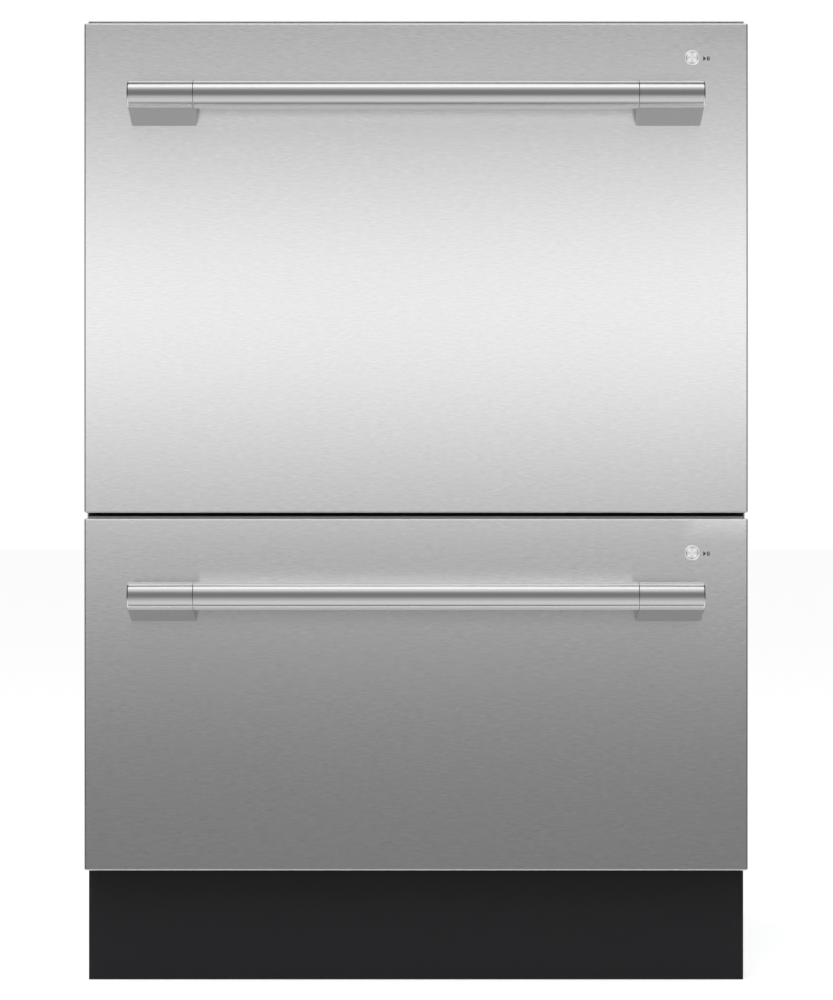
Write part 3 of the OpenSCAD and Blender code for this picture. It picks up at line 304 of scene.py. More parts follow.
# %% Sheet for the handles, and sheets before the flags
FAR, HAZE_ARC = 6.0, 60
LEVEL = 0.58  # height of the middle between the two bars
HAZE = [  # elevation seen from the bars, brightness
    (-34, 0.0), (-28, 0.04), (-22, 0.13), (-17, 0.19), (-12, 0.16), (-7, 0.10), (-2, 0.04), (4, 0.0),
]
haze_stops = [(LEVEL + FAR * math.tan(math.radians(e)), b) for e, b in HAZE]
haze_low, haze_high = haze_stops[0][0], haze_stops[-1][0]


def haze(tree, glow):
    place = add(tree, "SeparateXYZ", links={"Vector": add(tree, "TexCoord").outputs["Object"]})
    feed(tree, glow, {"Strength": heights(tree, haze_stops, haze_low, haze_high, place.outputs["Z"])})


haze_sheet = glowing("handle_haze", round_wall(FAR, haze_low, haze_high, ahead(HAZE_ARC)), haze)
handles = only_for(haze_sheet, "lit_by_the_haze")

SIDE_R, SIDE_LOW, SIDE_HIGH, SIDE_GLOW = 4.0, -3.0, 5.0, 0.6


def side_light(tree, glow):
    glow.inputs["Strength"].default_value = SIDE_GLOW


flag_side = round_wall(SIDE_R, SIDE_LOW, SIDE_HIGH, lambda x, y: abs(x) > 0.4 and abs(y) > 0.2)
bodywork = only_for(glowing("side_sheets", flag_side, side_light), "lit_by_the_side_sheets")

# %% Dome of a button
DOME_R = 1.2
DOME_PLAIN, DOME_RAY, RAY_SHARP = 0.34, 0.80, 5


def button_dome(name, centre):
    """A half dome before a button, bright along both diagonals of the button's mirror line."""
    line = centre - camera.location
    middle = centre + Vector((line.x, -line.y, line.z)).normalized() * DOME_R

    def crossed(tree, glow):
        moved = add(tree, "Mapping", {"Location": -middle},
                    {"Vector": add(tree, "TexCoord").outputs["Object"]})
        split = add(tree, "SeparateXYZ", links={"Vector": moved.outputs["Vector"]})
        turn = add(tree, "Math", links={0: split.outputs["Z"], 1: split.outputs["X"]}, operation="ARCTAN2")
        twice = add(tree, "Math", {1: 2.0}, {0: turn.outputs[0]}, operation="MULTIPLY")
        wave = add(tree, "Math", links={0: twice.outputs[0]}, operation="SINE")
        size = add(tree, "Math", links={0: wave.outputs[0]}, operation="ABSOLUTE")
        sharp = add(tree, "Math", {1: RAY_SHARP}, {0: size.outputs[0]}, operation="POWER")
        level = add(tree, "MapRange", {"To Min": DOME_PLAIN, "To Max": DOME_PLAIN + DOME_RAY},
                    {"Value": sharp.outputs[0]})
        feed(tree, glow, {"Strength": level.outputs["Result"]})

    bm = bmesh.new()
    bmesh.ops.create_uvsphere(bm, u_segments=48, v_segments=24, radius=DOME_R,
                              matrix=Matrix.Translation(centre))
    back = [f for f in bm.faces if f.calc_center_median().y > centre.y]
    bmesh.ops.delete(bm, geom=back, context="FACES")
    return only_for(glowing(name, bm, crossed), "lit_by_" + name)

# %% [markdown]
# The lamps are two broad soft boxes that only light what is dull: they are hidden from
# reflections, because the world already stands for them there. The floor is pale and dull. A
# little glow for camera rays alone brings it up to the white of the background, and leaves
# the object's own soft shadow on it.

# %% Lamps and floor
def soft_box(name, watts, width, height, at, aim):
    lamp = bpy.data.lights.new(name, "AREA")
    lamp.shape = "RECTANGLE"
    lamp.energy, lamp.size, lamp.size_y = watts, width, height
    obj = bpy.data.objects.new(name, lamp)
    obj.location = at
    obj.rotation_euler = (Vector(aim) - Vector(at)).to_track_quat("-Z", "Y").to_euler()
    obj.visible_glossy = False
    obj.visible_camera = False
    scene.collection.objects.link(obj)
    return obj


soft_box("overhead_box", 26, 2.2, 1.6, (0.0, -0.9, 2.6), (0, 0, 0.4))
soft_box("front_box", 38, 2.4, 1.4, (-0.7, -2.2, 2.2), (0, 0, 0.3))

FLOOR_R, FLOOR_GREY, FLOOR_LIFT = 30, 0.80, 0.47
bm = bmesh.new()
bmesh.ops.create_circle(bm, cap_ends=True, segments=96, radius=FLOOR_R)
floor_mesh = bpy.data.meshes.new("floor")
bm.to_mesh(floor_mesh)
bm.free()
floor = bpy.data.objects.new("floor", floor_mesh)
scene.collection.objects.link(floor)
floor.visible_glossy = False
floor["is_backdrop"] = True

floor_paint = bpy.data.materials.new("floor_paint")
floor_paint.use_nodes = True
tree = floor_paint.node_tree
tree.nodes.clear()
dull = add(tree, "BsdfDiffuse", {"Color": (FLOOR_GREY, FLOOR_GREY, FLOOR_GREY, 1)})
ray = add(tree, "LightPath")
lift = add(tree, "Math", {1: FLOOR_LIFT}, {0: ray.outputs["Is Camera Ray"]}, operation="MULTIPLY")
glow = add(tree, "Emission", {"Color": WHITE}, {"Strength": lift.outputs[0]})
both = add(tree, "AddShader", links={0: dull.outputs[0], 1: glow.outputs[0]})
add(tree, "OutputMaterial", links={"Surface": both.outputs[0]})
floor_mesh.materials.append(floor_paint)

# %% [markdown]
# ## Steel finishes
# The fronts are stainless sheet, brushed from side to side. Each scratch is a tiny trough
# along X, so light spreads up and down, across the scratches: that is what an anisotropic
# shader does, along its tangent. Its tangent comes from a UV map whose U runs up the sheet.
# Real scratches are about 0.05 mm wide, far below one pixel, so the streaks are drawn 1 mm
# high and some 7 mm long: the dashes that a brushing belt leaves, as the photograph shows them.

# %% Brushed sheet
def brushed(name, color, rough, spread, streak=(7, 0.9), contrast=0.03):
    """Steel with streaks along X; streak is their length and width in mm."""
    material, tree, shader, place = start(name, color, rough, Metallic=1.0, Anisotropic=spread)
    length, width = streak[0] * MM, streak[1] * MM
    grain = add(tree, "Mapping", {"Scale": (1 / length, 1 / width, 1 / width)}, {"Vector": place})
    streaks = add(tree, "TexNoise", {"Scale": 1.0, "Detail": 3.0, "Roughness": 0.6},
                  {"Vector": grain.outputs["Vector"]})
    tone = add(tree, "MapRange", {"To Min": 1 - contrast, "To Max": 1 + contrast},
               {"Value": streaks.outputs["Fac"]})
    base = add(tree, "VectorMath", {0: paint(color)[:3]}, {"Scale": tone.outputs["Result"]},
               operation="SCALE")
    uneven = add(tree, "MapRange", {"To Min": rough - 0.01, "To Max": rough + 0.01},
                 {"Value": streaks.outputs["Fac"]})
    bump = add(tree, "Bump", {"Strength": 0.05, "Distance": 0.02 * MM},
               {"Height": streaks.outputs["Fac"]})
    way = add(tree, "Tangent", direction_type="UV_MAP", uv_map="brush")
    feed(tree, shader, {"Base Color": base.outputs["Vector"], "Roughness": uneven.outputs["Result"],
                        "Normal": bump.outputs["Normal"], "Tangent": way.outputs["Tangent"]})
    return material


# Belt-brushed sheet: broad soft bands up and down, and fine dashes from side to side.
front_steel = brushed("brushed_stainless_front", "EEEEEE", 0.181, 0.9, contrast=0.14)
# Satin bar and brackets: long, faint lines from a polishing wheel, with clearer reflections.
bar_steel = brushed("satin_stainless_bar", "EDECED", 0.19, 0.4, (60, 0.7), 0.012)
bracket_steel = brushed("satin_stainless_bracket", "EBEAEB", 0.20, 0.4, (50, 0.7), 0.012)
# Greyer copy of the bracket steel, even and without a direction: painted shade on the brackets' undersides
# and ends.
shade_grey_steel = brushed("grey_stainless_painted_shade", "C8C8C9", 0.30, 0.0, (1.2, 1.2), 0.02)
# Tumbled lip, soft and pale, and spun disc, whose fine grooves fan the light out.
lip_steel = brushed("tumbled_stainless_lip", "F2F2F2", 0.34, 0.0, (0.6, 0.6), 0.02)
spun_steel = brushed("spun_stainless_button", "F0F0F0", 0.22, 0.8, (0.5, 0.5), 0.02)

# %% [markdown]
# ## Moulded skins
# A moulded part is never one flat colour: the tool's surface leaves a fine grain, and the
# plastic shades a little from thick to thin places. Grain and shade are two noises, sized in
# millimetres. Real grain is about 0.1 mm, so it is drawn four times coarser to show at all.

# %% Moulded finish
def moulded(name, color, rough, grain=0.4, depth=0.02, cloud=35, tint=0.06, **values):
    """A moulded skin; grain and cloud are the two noises' sizes, and depth the bump's, in mm."""
    material, tree, shader, place = start(name, color, rough, **values)
    fine = add(tree, "TexNoise", {"Scale": 1 / (grain * MM), "Detail": 3.0}, {"Vector": place})
    slow = add(tree, "TexNoise", {"Scale": 1 / (cloud * MM), "Detail": 2.0}, {"Vector": place})
    tone = add(tree, "MapRange", {"To Min": 1 - tint, "To Max": 1 + tint},
               {"Value": slow.outputs["Fac"]})
    base = add(tree, "VectorMath", {0: paint(color)[:3]}, {"Scale": tone.outputs["Result"]},
               operation="SCALE")
    uneven = add(tree, "MapRange", {"To Min": rough - 0.04, "To Max": rough + 0.05},
                 {"Value": fine.outputs["Fac"]})
    bump = add(tree, "Bump", {"Strength": 0.6, "Distance": depth * MM}, {"Height": fine.outputs["Fac"]})
    feed(tree, shader, {"Base Color": base.outputs["Vector"], "Roughness": uneven.outputs["Result"],
                        "Normal": bump.outputs["Normal"]})
    return material


# %% [markdown]
# ## Helpers for pieces
# A piece is built in a bmesh, in place and in metres. When it is done it becomes an object at
# the origin that rides on its body and stands for the solid that it replaces. Edges sharper
# than 35 degrees stay crisp, and a weighted normal keeps flat faces flat beside their bevels.

# %% Piece helpers
def piece(name, bm, body, material, replaced=(), angle=35, weighted=True, wall=0, edge=0):
    """Makes the object; wall is a Solidify behind the faces, edge a Bevel of its sharp edges."""
    mesh = bpy.data.meshes.new(name)
    bm.to_mesh(mesh)
    bm.free()
    mesh.shade_smooth()
    mesh.set_sharp_from_angle(angle=math.radians(angle))
    mesh.materials.append(material)
    obj = bpy.data.objects.new(name, mesh)
    scene.collection.objects.link(obj)
    if wall:
        shell = obj.modifiers.new("wall", "SOLIDIFY")
        shell.thickness, shell.offset = wall, -1
        shell.use_even_offset, shell.thickness_clamp = True, 1.0
    if edge:
        rounding = obj.modifiers.new("edges", "BEVEL")
        rounding.width, rounding.segments = edge, 3
        rounding.limit_method, rounding.angle_limit = "ANGLE", math.radians(50)
    if weighted:
        obj.modifiers.new("flat_faces", "WEIGHTED_NORMAL").keep_sharp = True
    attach(obj, body)
    if replaced:
        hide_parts(*replaced)
    print(name, len(mesh.polygons), "faces")
    return obj


def box_mesh(bm, lo, hi):
    """Adds a box between two corners and returns its vertices."""
    lo, hi = Vector(lo), Vector(hi)
    made = bmesh.ops.create_cube(bm, size=1, matrix=Matrix.Translation((lo + hi) / 2)
                                 @ Matrix.Diagonal((*(hi - lo), 1)))
    return made["verts"]


def ease(bm, edges, radius, segments):
    """Rounds edges by a bevel."""
    bmesh.ops.bevel(bm, geom=list(edges), offset=radius, offset_type="OFFSET", segments=segments,
                    profile=0.5, affect="EDGES", material=-1, clamp_overlap=True)


def ease_all(bm, verts, radius, segments):
    """Rounds every edge at these vertices."""
    ease(bm, {e for v in verts for e in v.link_edges}, radius, segments)


def outward(bm):
    """Turns all faces outwards."""
    bmesh.ops.recalc_face_normals(bm, faces=bm.faces)


def slit(bm, faces, at, across):
    """Cuts these faces by the plane through at whose normal is across."""
    bmesh.ops.bisect_plane(bm, geom=faces + list({e for f in faces for e in f.edges}), dist=1e-7,
                           plane_co=at, plane_no=across)


def join(bm, other):
    """Adds a finished bmesh to another one."""
    part = bpy.data.meshes.new("part")
    other.to_mesh(part)
    other.free()
    bm.from_mesh(part)
    bpy.data.meshes.remove(part)


def turned(bm, profile, axis, centre, steps=64):
    """Spins a profile of (distance along the axis, radius) points once round the axis."""
    axis = Vector(axis)
    side = axis.orthogonal().normalized()
    points = [bm.verts.new(Vector(centre) + axis * a + side * r) for a, r in profile]
    edges = [bm.edges.new(pair) for pair in zip(points, points[1:])]
    bmesh.ops.spin(bm, geom=points + edges, cent=centre, axis=axis, angle=2 * math.pi,
                   steps=steps, use_merge=True)
    bmesh.ops.remove_doubles(bm, verts=bm.verts, dist=0.001 * MM)


def brush_map(bm, value):
    """Writes the UV map that carries the brushing: U is value(vertex, face)."""
    layer = bm.loops.layers.uv.new("brush")
    for face in bm.faces:
        for loop in face.loops:
            loop[layer].uv = value(loop.vert.co, face)


# %% [markdown]
# ## Front skins
# Each front is one sheet of 1 mm steel, folded back all round with a bend of 1.6 mm radius.
# The top return is short, and the grey liner shows behind it as a thin strip. The sheet is
# made from a box without its back: the folds are bevels, the top is cut back, and solidify
# gives the sheet its thickness. The button's hole is a small square of the face that is
# opened, given enough edges and bridged to a circle.

# %% Front skins
SKIN_T = 1.0 * MM
FOLD = 1.6 * MM
STRIP_INSET = 3 * MM
TOP_RETURN = 8 * MM
BARREL_R, WINDOW = 6.2 * MM, 9 * MM  # the button ring's barrel, and half of the square round its hole


def opened(bm, centre, radius, half):
    """Cuts a round hole along Y through the face round centre."""
    for axis in (Vector((1, 0, 0)), Vector((0, 0, 1))):
        for s in (-1, 1):
            slit(bm, [f for f in bm.faces if f.normal.y < -0.99], centre + axis * half * s, axis)
    window = min((f for f in bm.faces if f.normal.y < -0.99),
                 key=lambda f: (f.calc_center_median() - centre).length)
    frame_edges = list(window.edges)
    bmesh.ops.delete(bm, geom=[window], context="FACES_ONLY")
    bmesh.ops.subdivide_edges(bm, edges=frame_edges, cuts=11)
    hole = [e for e in bm.edges if e.is_boundary
            and all((v.co - centre).length < 1.5 * half and abs(v.co.y - centre.y) < 1e-6 for v in e.verts)]
    upright = Matrix.Translation(centre) @ Matrix.Rotation(math.pi / 2, 4, "X")
    ring = bmesh.ops.create_circle(bm, segments=48, radius=radius, matrix=upright)
    rim = {e for v in ring["verts"] for e in v.link_edges}
    bmesh.ops.bridge_loops(bm, edges=hole + list(rim))


for level in DRAWERS:
    lo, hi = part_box(level + "_front_skin")
    ring_lo, ring_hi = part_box(level + "_button_ring")
    bm = bmesh.new()
    box_mesh(bm, lo, hi)
    bmesh.ops.delete(bm, geom=[f for f in bm.faces if f.normal.y > 0.9], context="FACES")
    ease(bm, [e for e in bm.edges if not e.is_boundary], FOLD, 5)
    for axis, at in (((0, 1, 0), lo.y + TOP_RETURN), ((1, 0, 0), lo.x + STRIP_INSET),
                     ((1, 0, 0), hi.x - STRIP_INSET)):
        slit(bm, [f for f in bm.faces if f.normal.z > 0.99], Vector(axis) * at, axis)
    cut = [f for f in bm.faces if f.normal.z > 0.99 and f.calc_center_median().y > lo.y + TOP_RETURN
           and abs(f.calc_center_median().x) < hi.x - STRIP_INSET]
    bmesh.ops.delete(bm, geom=cut, context="FACES")
    hole = Vector(((ring_lo.x + ring_hi.x) / 2, lo.y, (ring_lo.z + ring_hi.z) / 2))
    opened(bm, hole, BARREL_R, WINDOW)
    outward(bm)
    bmesh.ops.solidify(bm, geom=bm.faces[:], thickness=SKIN_T)
    mid = (lo.z + hi.z) / 2
    brush_map(bm, lambda co, face: (co.z if abs(face.normal.x) > 0.7 else
                                    co.z + math.copysign(co.y - y_face, co.z - mid), co.x))
    sheet = piece(level + "_front_sheet", bm, level + "_drawer", front_steel,
                  [level + "_front_skin"])
    fronts.objects.link(sheet)

# %% [markdown]
# ## Handles
# The bar is turned: a profile is spun once round its axis, with the small chamfer of its ends
# and the spigots that go into the brackets. Each bracket is a slice of the same bar that grows
# a wedge down to the front. Its outline is a convex hull of the round and of the foot on the
# front, as a casting of that shape would be. Its outer end is eased by 1.5 mm, its inner one by
# 0.4 mm. The round goes on the bar's satin; the ends and the underside get a greyer copy of the
# steel, as painted shade, and a seam of 0.2 mm stays open between bar and bracket.

# %% Handle bars
CHAMFER = 0.4 * MM
SEAM = 0.2 * MM
SPIGOT = 8 * MM
BRACKET = 58.5 * MM
for level in DRAWERS:
    lo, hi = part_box(level + "_handle_bar")
    r = (hi.z - lo.z) / 2
    centre = (lo + hi) / 2
    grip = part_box(level + "_handle_brackets")[1].x - BRACKET - SEAM
    half = [(0, r), (grip - CHAMFER, r), (grip, r - CHAMFER), (grip, SPIGOT), (hi.x - CHAMFER, SPIGOT),
            (hi.x, SPIGOT - CHAMFER), (hi.x, 0)]
    profile = [(-a, s) for a, s in half[:0:-1]] + half[1:]
    bm = bmesh.new()
    turned(bm, profile, (1, 0, 0), centre, 96)
    outward(bm)
    brush_map(bm, lambda co, face: (co.x, math.atan2(co.z - centre.z, co.y - centre.y)))
    bar = piece(level + "_handle_round", bm, level + "_drawer", bar_steel,
                [level + "_handle_bar"])
    handles.objects.link(bar)

# %% Handle brackets
SIDES = 96
FOOT_TOP = 9 * MM  # the foot reaches this far above the bar's axis
OUTER_EASE, INNER_EASE, CLOSE = 1.5 * MM, 0.4 * MM, 0.01 * MM
for level in DRAWERS:
    lo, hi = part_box(level + "_handle_brackets")
    bar_lo, bar_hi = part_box(level + "_handle_bar")
    axis_y, axis_z = (bar_lo.y + bar_hi.y) / 2, (bar_lo.z + bar_hi.z) / 2
    r = (bar_hi.z - bar_lo.z) / 2
    top_z, low_z = axis_z + FOOT_TOP, lo.z
    bm = bmesh.new()
    for s in (-1, 1):
        one = bmesh.new()
        mid_x = s * (hi.x - BRACKET / 2)
        bmesh.ops.create_cone(one, cap_ends=True, segments=SIDES, radius1=r, radius2=r, depth=BRACKET,
                              matrix=Matrix.Translation((mid_x, axis_y, axis_z))
                              @ Matrix.Rotation(math.pi / 2, 4, "Y"))
        bmesh.ops.create_grid(one, x_segments=1, y_segments=1, size=0.5,
                              matrix=Matrix.Translation((mid_x, y_face, (low_z + top_z) / 2))
                              @ Matrix.Rotation(math.pi / 2, 4, "X")
                              @ Matrix.Diagonal((BRACKET, top_z - low_z, 1, 1)))
        hull = bmesh.ops.convex_hull(one, input=one.verts)
        bmesh.ops.delete(one, geom=[g for g in hull["geom_interior"] + hull["geom_unused"]
                                    if isinstance(g, bmesh.types.BMVert)], context="VERTS")
        bmesh.ops.dissolve_limit(one, angle_limit=math.radians(1), verts=one.verts, edges=one.edges)
        outward(one)
        slice_area = BRACKET * math.tau * r / SIDES
        # The downward flat and the ends get the second, greyer material: painted shade.
        for face in one.faces:
            flat = face.calc_area() > 4 * slice_area and face.normal.z < 0
            face.material_index = int(flat or abs(face.normal.x) > 0.9)
        free = [e for e in one.edges if any(v.co.y < y_face - CLOSE for v in e.verts)]
        outer = [e for e in free if all(abs(v.co.x) > hi.x - CLOSE for v in e.verts)]
        ease(one, outer, OUTER_EASE, 5)
        free = [e for e in one.edges if any(v.co.y < y_face - CLOSE for v in e.verts)]
        inner = [e for e in free if all(abs(v.co.x) < hi.x - BRACKET + CLOSE for v in e.verts)]
        ease(one, inner, INNER_EASE, 3)
        join(bm, one)
    brush_map(bm, lambda co, face: (co.x, co.z))
    feet = piece(level + "_handle_feet", bm, level + "_drawer", bracket_steel,
                 [level + "_handle_brackets"])
    # The second material is the greyer steel that paints shade on the underside and ends.
    feet.data.materials.append(shade_grey_steel)
    handles.objects.link(feet)

# %% [markdown]
# ## Start buttons
# A bright ring with a rounded lip, and in it a flat disc whose face is turned on a lathe. The
# fine grooves run round the middle, so the light fans out from it in two pairs of rays: the
# UV map's U therefore runs outwards along the radius.

# %% Buttons and their rings
RING_BORE, LIP_R = 5.28 * MM, 0.35 * MM
LIP_BOW = [(math.sin(a) * LIP_R, math.cos(a) * LIP_R) for a in (i * math.pi / 8 for i in range(5))]
DISH, DISC_EASE = 0.05 * MM, 0.35 * MM
for level in DRAWERS:
    lo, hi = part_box(level + "_button_ring")
    centre = Vector(((lo.x + hi.x) / 2, 0, (lo.z + hi.z) / 2))
    out, face = (hi.x - lo.x) / 2, lo.y

    def outwards(co, _):
        return (math.hypot(co.x - centre.x, co.z - centre.z), math.atan2(co.z - centre.z, co.x - centre.x))

    profile = [(hi.y, RING_BORE), (face + LIP_R, RING_BORE)]
    profile += [(face + LIP_R - c, RING_BORE + LIP_R - s) for s, c in LIP_BOW]
    profile += [(face + LIP_R - c, out - LIP_R + s) for s, c in LIP_BOW]
    profile += [(y_face, out), (y_face, BARREL_R), (hi.y, BARREL_R), (hi.y, RING_BORE)]
    bm = bmesh.new()
    turned(bm, profile, (0, 1, 0), centre, 96)
    outward(bm)
    brush_map(bm, outwards)
    bezel = piece(level + "_button_bezel", bm, level + "_drawer", lip_steel,
                  [level + "_button_ring"])

    lo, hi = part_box(level + "_button")
    r = (hi.x - lo.x) / 2
    profile = [(lo.y + DISH, 0)] + [(lo.y, r / 6 * i) for i in range(1, 6)]
    profile += [(lo.y, r - DISC_EASE), (lo.y + 0.1 * MM, r - 0.1 * MM), (lo.y + DISC_EASE, r), (hi.y, r),
                (hi.y, 0)]
    bm = bmesh.new()
    turned(bm, profile, (0, 1, 0), centre, 96)
    outward(bm)
    brush_map(bm, outwards)
    disc = piece(level + "_button_disc", bm, level + "_push_button", spun_steel,
                 [level + "_button"])
    lit_by_dome = button_dome(level + "_button_dome", Vector((centre.x, y_face, centre.z)))
    lit_by_dome.objects.link(bezel)
    lit_by_dome.objects.link(disc)

# %% [markdown]
# Beside each button stands a small play triangle and two pause bars, printed in dark ink. Each
# is a flat plate 0.04 mm thick on the steel: a three-sided disc turned to point to the right,
# and two slim boxes.

# %% Printed start and pause marks
# Screen-printing ink: dull, nearly black, with a faint unevenness of the mesh.
ink = moulded("dark_grey_screen_print", "2A2B2E", 0.55, grain=0.2, depth=0.005, tint=0.1)
PRINT = 0.04 * MM
MARK_X, MARK_Z = 259.3 * MM, -0.7 * MM
BAR_W, BAR_HALF = 0.95 * MM, 1.8 * MM
for level in DRAWERS:
    lo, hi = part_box(level + "_button")
    z = (lo.z + hi.z) / 2 + MARK_Z
    bm = bmesh.new()
    bmesh.ops.create_cone(bm, cap_ends=True, segments=3, radius1=1, radius2=1, depth=PRINT,
                          matrix=Matrix.Translation((MARK_X + 0.83 * MM, y_face - PRINT / 2, z))
                          @ Matrix.Diagonal((1.65 * MM, 1, 2.5 * MM, 1))
                          @ Matrix.Rotation(math.pi / 2, 4, "Y") @ Matrix.Rotation(math.pi / 2, 4, "X"))
    for left in (MARK_X + 3.3 * MM, MARK_X + 4.75 * MM):
        box_mesh(bm, (left, y_face - PRINT, z - BAR_HALF), (left + BAR_W, y_face, z + BAR_HALF))
    outward(bm)
    piece(level + "_start_marks", bm, level + "_drawer", ink)

# %% [markdown]
# ## Kick panel
# One painted sheet with a return on both sides and along its top. It starts as a box that
# loses its back and its bottom, and solidify gives it 1.2 mm of steel.

# %% Kick panel
# Powder coat: black and matt, with the fine orange peel that the powder leaves when it melts.
KICK_FOLD, KICK_T = 1.8 * MM, 1.2 * MM
powder, tree, shader, place = start("matt_black_powder_coat", "1B1B1E", 0.75)
peel = add(tree, "TexNoise", {"Scale": 1 / (0.9 * MM), "Detail": 2.0}, {"Vector": place})
bump = add(tree, "Bump", {"Strength": 0.25, "Distance": 0.03 * MM}, {"Height": peel.outputs["Fac"]})
feed(tree, shader, {"Normal": bump.outputs["Normal"]})

lo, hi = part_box("kick_panel")
bm = bmesh.new()
box_mesh(bm, lo, hi)
open_sides = [f for f in bm.faces if f.normal.y > 0.9 or f.normal.z < -0.9]
bmesh.ops.delete(bm, geom=open_sides, context="FACES")
ease(bm, [e for e in bm.edges if not e.is_boundary], KICK_FOLD, 5)
outward(bm)
bmesh.ops.solidify(bm, geom=bm.faces[:], thickness=KICK_T)
piece("kick_sheet", bm, "chassis", powder, ["kick_panel"])

# %% [markdown]
# ## Bent wire
# Racks are made from steel wire that is bent, welded and dipped in nylon. One helper bends a
# wire the way a workshop does: a round section is pulled along each straight run, and swung
# round a bending pin where the wire turns. Ten sides are enough for a wire of 3.4 mm.

# %% Wire helper
def pulled(bm, edges, move):
    """Extrudes edges, moves the new vertices by move(vertices) and returns the new edges."""
    grown = bmesh.ops.extrude_edge_only(bm, edges=edges)["geom"]
    verts = [g for g in grown if isinstance(g, bmesh.types.BMVert)]
    move(verts)
    return [g for g in grown if isinstance(g, bmesh.types.BMEdge) and all(v in verts for v in g.verts)]


def wire(bm, points, d, bend=8 * MM, sides=10, turn=5, domed=False):
    """A wire of diameter d through the points, bent round each; closed where they end as they start."""
    points = [Vector(p) for p in points]
    way = (points[1] - points[0]).normalized()
    made = bmesh.ops.create_circle(bm, cap_ends=False, segments=sides, radius=d / 2,
                                   matrix=Matrix.Translation(points[0])
                                   @ way.to_track_quat("Z", "Y").to_matrix().to_4x4())
    first = list({e for v in made["verts"] for e in v.link_edges})
    ring, at = first, points[0]

    def pull(edges, step, size=1.0):
        def move(verts):
            middle = sum((v.co for v in verts), Vector()) / len(verts)
            for v in verts:
                v.co = middle + (v.co - middle) * size + step
        return pulled(bm, edges, move)

    for here, then in zip(points[1:], points[2:] + [None]):
        if then is None:
            ring = pull(ring, here - at)
            break
        to = (then - here).normalized()
        angle = way.angle(to)
        back = bend * math.tan(angle / 2)
        ring = pull(ring, here - way * back - at)
        axis = way.cross(to).normalized()
        centre = here - way * back + axis.cross(way) * bend
        verts = list({v for e in ring for v in e.verts})
        swung = bmesh.ops.spin(bm, geom=verts + ring, cent=centre, axis=axis, angle=angle, steps=turn)
        ring = [g for g in swung["geom_last"] if isinstance(g, bmesh.types.BMEdge)]
        at, way = here + to * back, to
    closed = (points[-1] - points[0]).length < 0.01 * MM
    if domed:
        ring = pull(ring, way * d * 0.22, 0.86)
        ring = pull(ring, way * d * 0.16, 0.55)
    if not closed:
        bmesh.ops.edgeloop_fill(bm, edges=first)
        bmesh.ops.edgeloop_fill(bm, edges=ring)


def spread(count, length, margin):
    """So many even places over a length about 0, with a margin at both ends."""
    return [-length / 2 + margin + i * (length - 2 * margin) / (count - 1) for i in range(count)]


# %% Nylon coating
# Dipped nylon: a soft mid grey with a waxy gloss, and a slow unevenness of the dip, 6 mm long.
coating, tree, shader, place = start("nylon_coated_wire", "8B9097", 0.33, IOR=1.53)
dip = add(tree, "TexNoise", {"Scale": 1 / (6 * MM), "Detail": 2.0}, {"Vector": place})
tone = add(tree, "ValToRGB", links={"Fac": dip.outputs["Fac"]})
tone.color_ramp.elements[0].color = paint("858A92")
tone.color_ramp.elements[1].color = paint("92979E")
bump = add(tree, "Bump", {"Strength": 0.3, "Distance": 0.08 * MM}, {"Height": dip.outputs["Fac"]})
feed(tree, shader, {"Base Color": tone.outputs["Color"], "Normal": bump.outputs["Normal"]})

# %% [markdown]
# ## Racks
# A rack is a cage of U wires. Each one comes down from the rim, crosses the base and goes up
# again on the other side; a second set crosses the first. Two thicker rings hold them, and
# little spun eyes carry the tine rows and the cup shelf.

# %% Rack cages
RIM_D, WIRE_D, WELD = 5 * MM, 3.4 * MM, 0.1 * MM
RACK_RISE, CORNER, BEND = 30 * MM, 40 * MM, 9 * MM
EDGE_GAP = CORNER + 4 * MM
TINES, TINE_PITCH, TINE_ROW_X, TINE_H = 11, 30 * MM, 60 * MM, 66 * MM
CUP_W, CUP_LEN, CUP_WIRES, CUP_END, CUP_DROP = 88 * MM, 330 * MM, 8, 8 * MM, 16 * MM
STUB_R = 4 * MM  # the rack stands on four stubs
PLAY = 0.3 * MM  # between a turning wire and its eye
EYE_HALF, EYE_T = 3 * MM, 1.5 * MM


def eye_ring(bm, x, y, z, d):
    """A small round eye that a turning wire lies in; d is the wire's diameter."""
    inner, shy = d / 2 + PLAY, EYE_HALF - 0.6 * MM
    profile = [(-EYE_HALF, inner), (-EYE_HALF, inner + 1.1 * MM), (-shy, inner + EYE_T),
               (shy, inner + EYE_T), (EYE_HALF, inner + 1.1 * MM), (EYE_HALF, inner), (-EYE_HALF, inner)]
    turned(bm, profile, (0, 1, 0), Vector((x, y, z)), 20)


def rack_sizes(level):
    """Where a rack's wires run: widths and lengths between wire middles, and heights."""
    lo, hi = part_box(level + "_rack")
    size = {"mid": (lo.y + hi.y) / 2, "w": hi.x - lo.x - RIM_D, "l": hi.y - lo.y - RIM_D,
            "z0": lo.z + RACK_RISE, "z1": hi.z - RIM_D / 2, "floor": lo.z}
    size["side"] = (size["w"] - RIM_D - WIRE_D) / 2 - WELD
    size["end"] = (size["l"] - RIM_D - WIRE_D) / 2 - WELD
    size["spine"] = size["z0"] + 2 * WIRE_D + 2 * WELD + PLAY
    size["cup_z"] = size["z1"] - CUP_DROP
    size["cup_x"] = -(size["side"] - 1.5 * WIRE_D - WELD - RIM_D / 2 - PLAY)
    return size


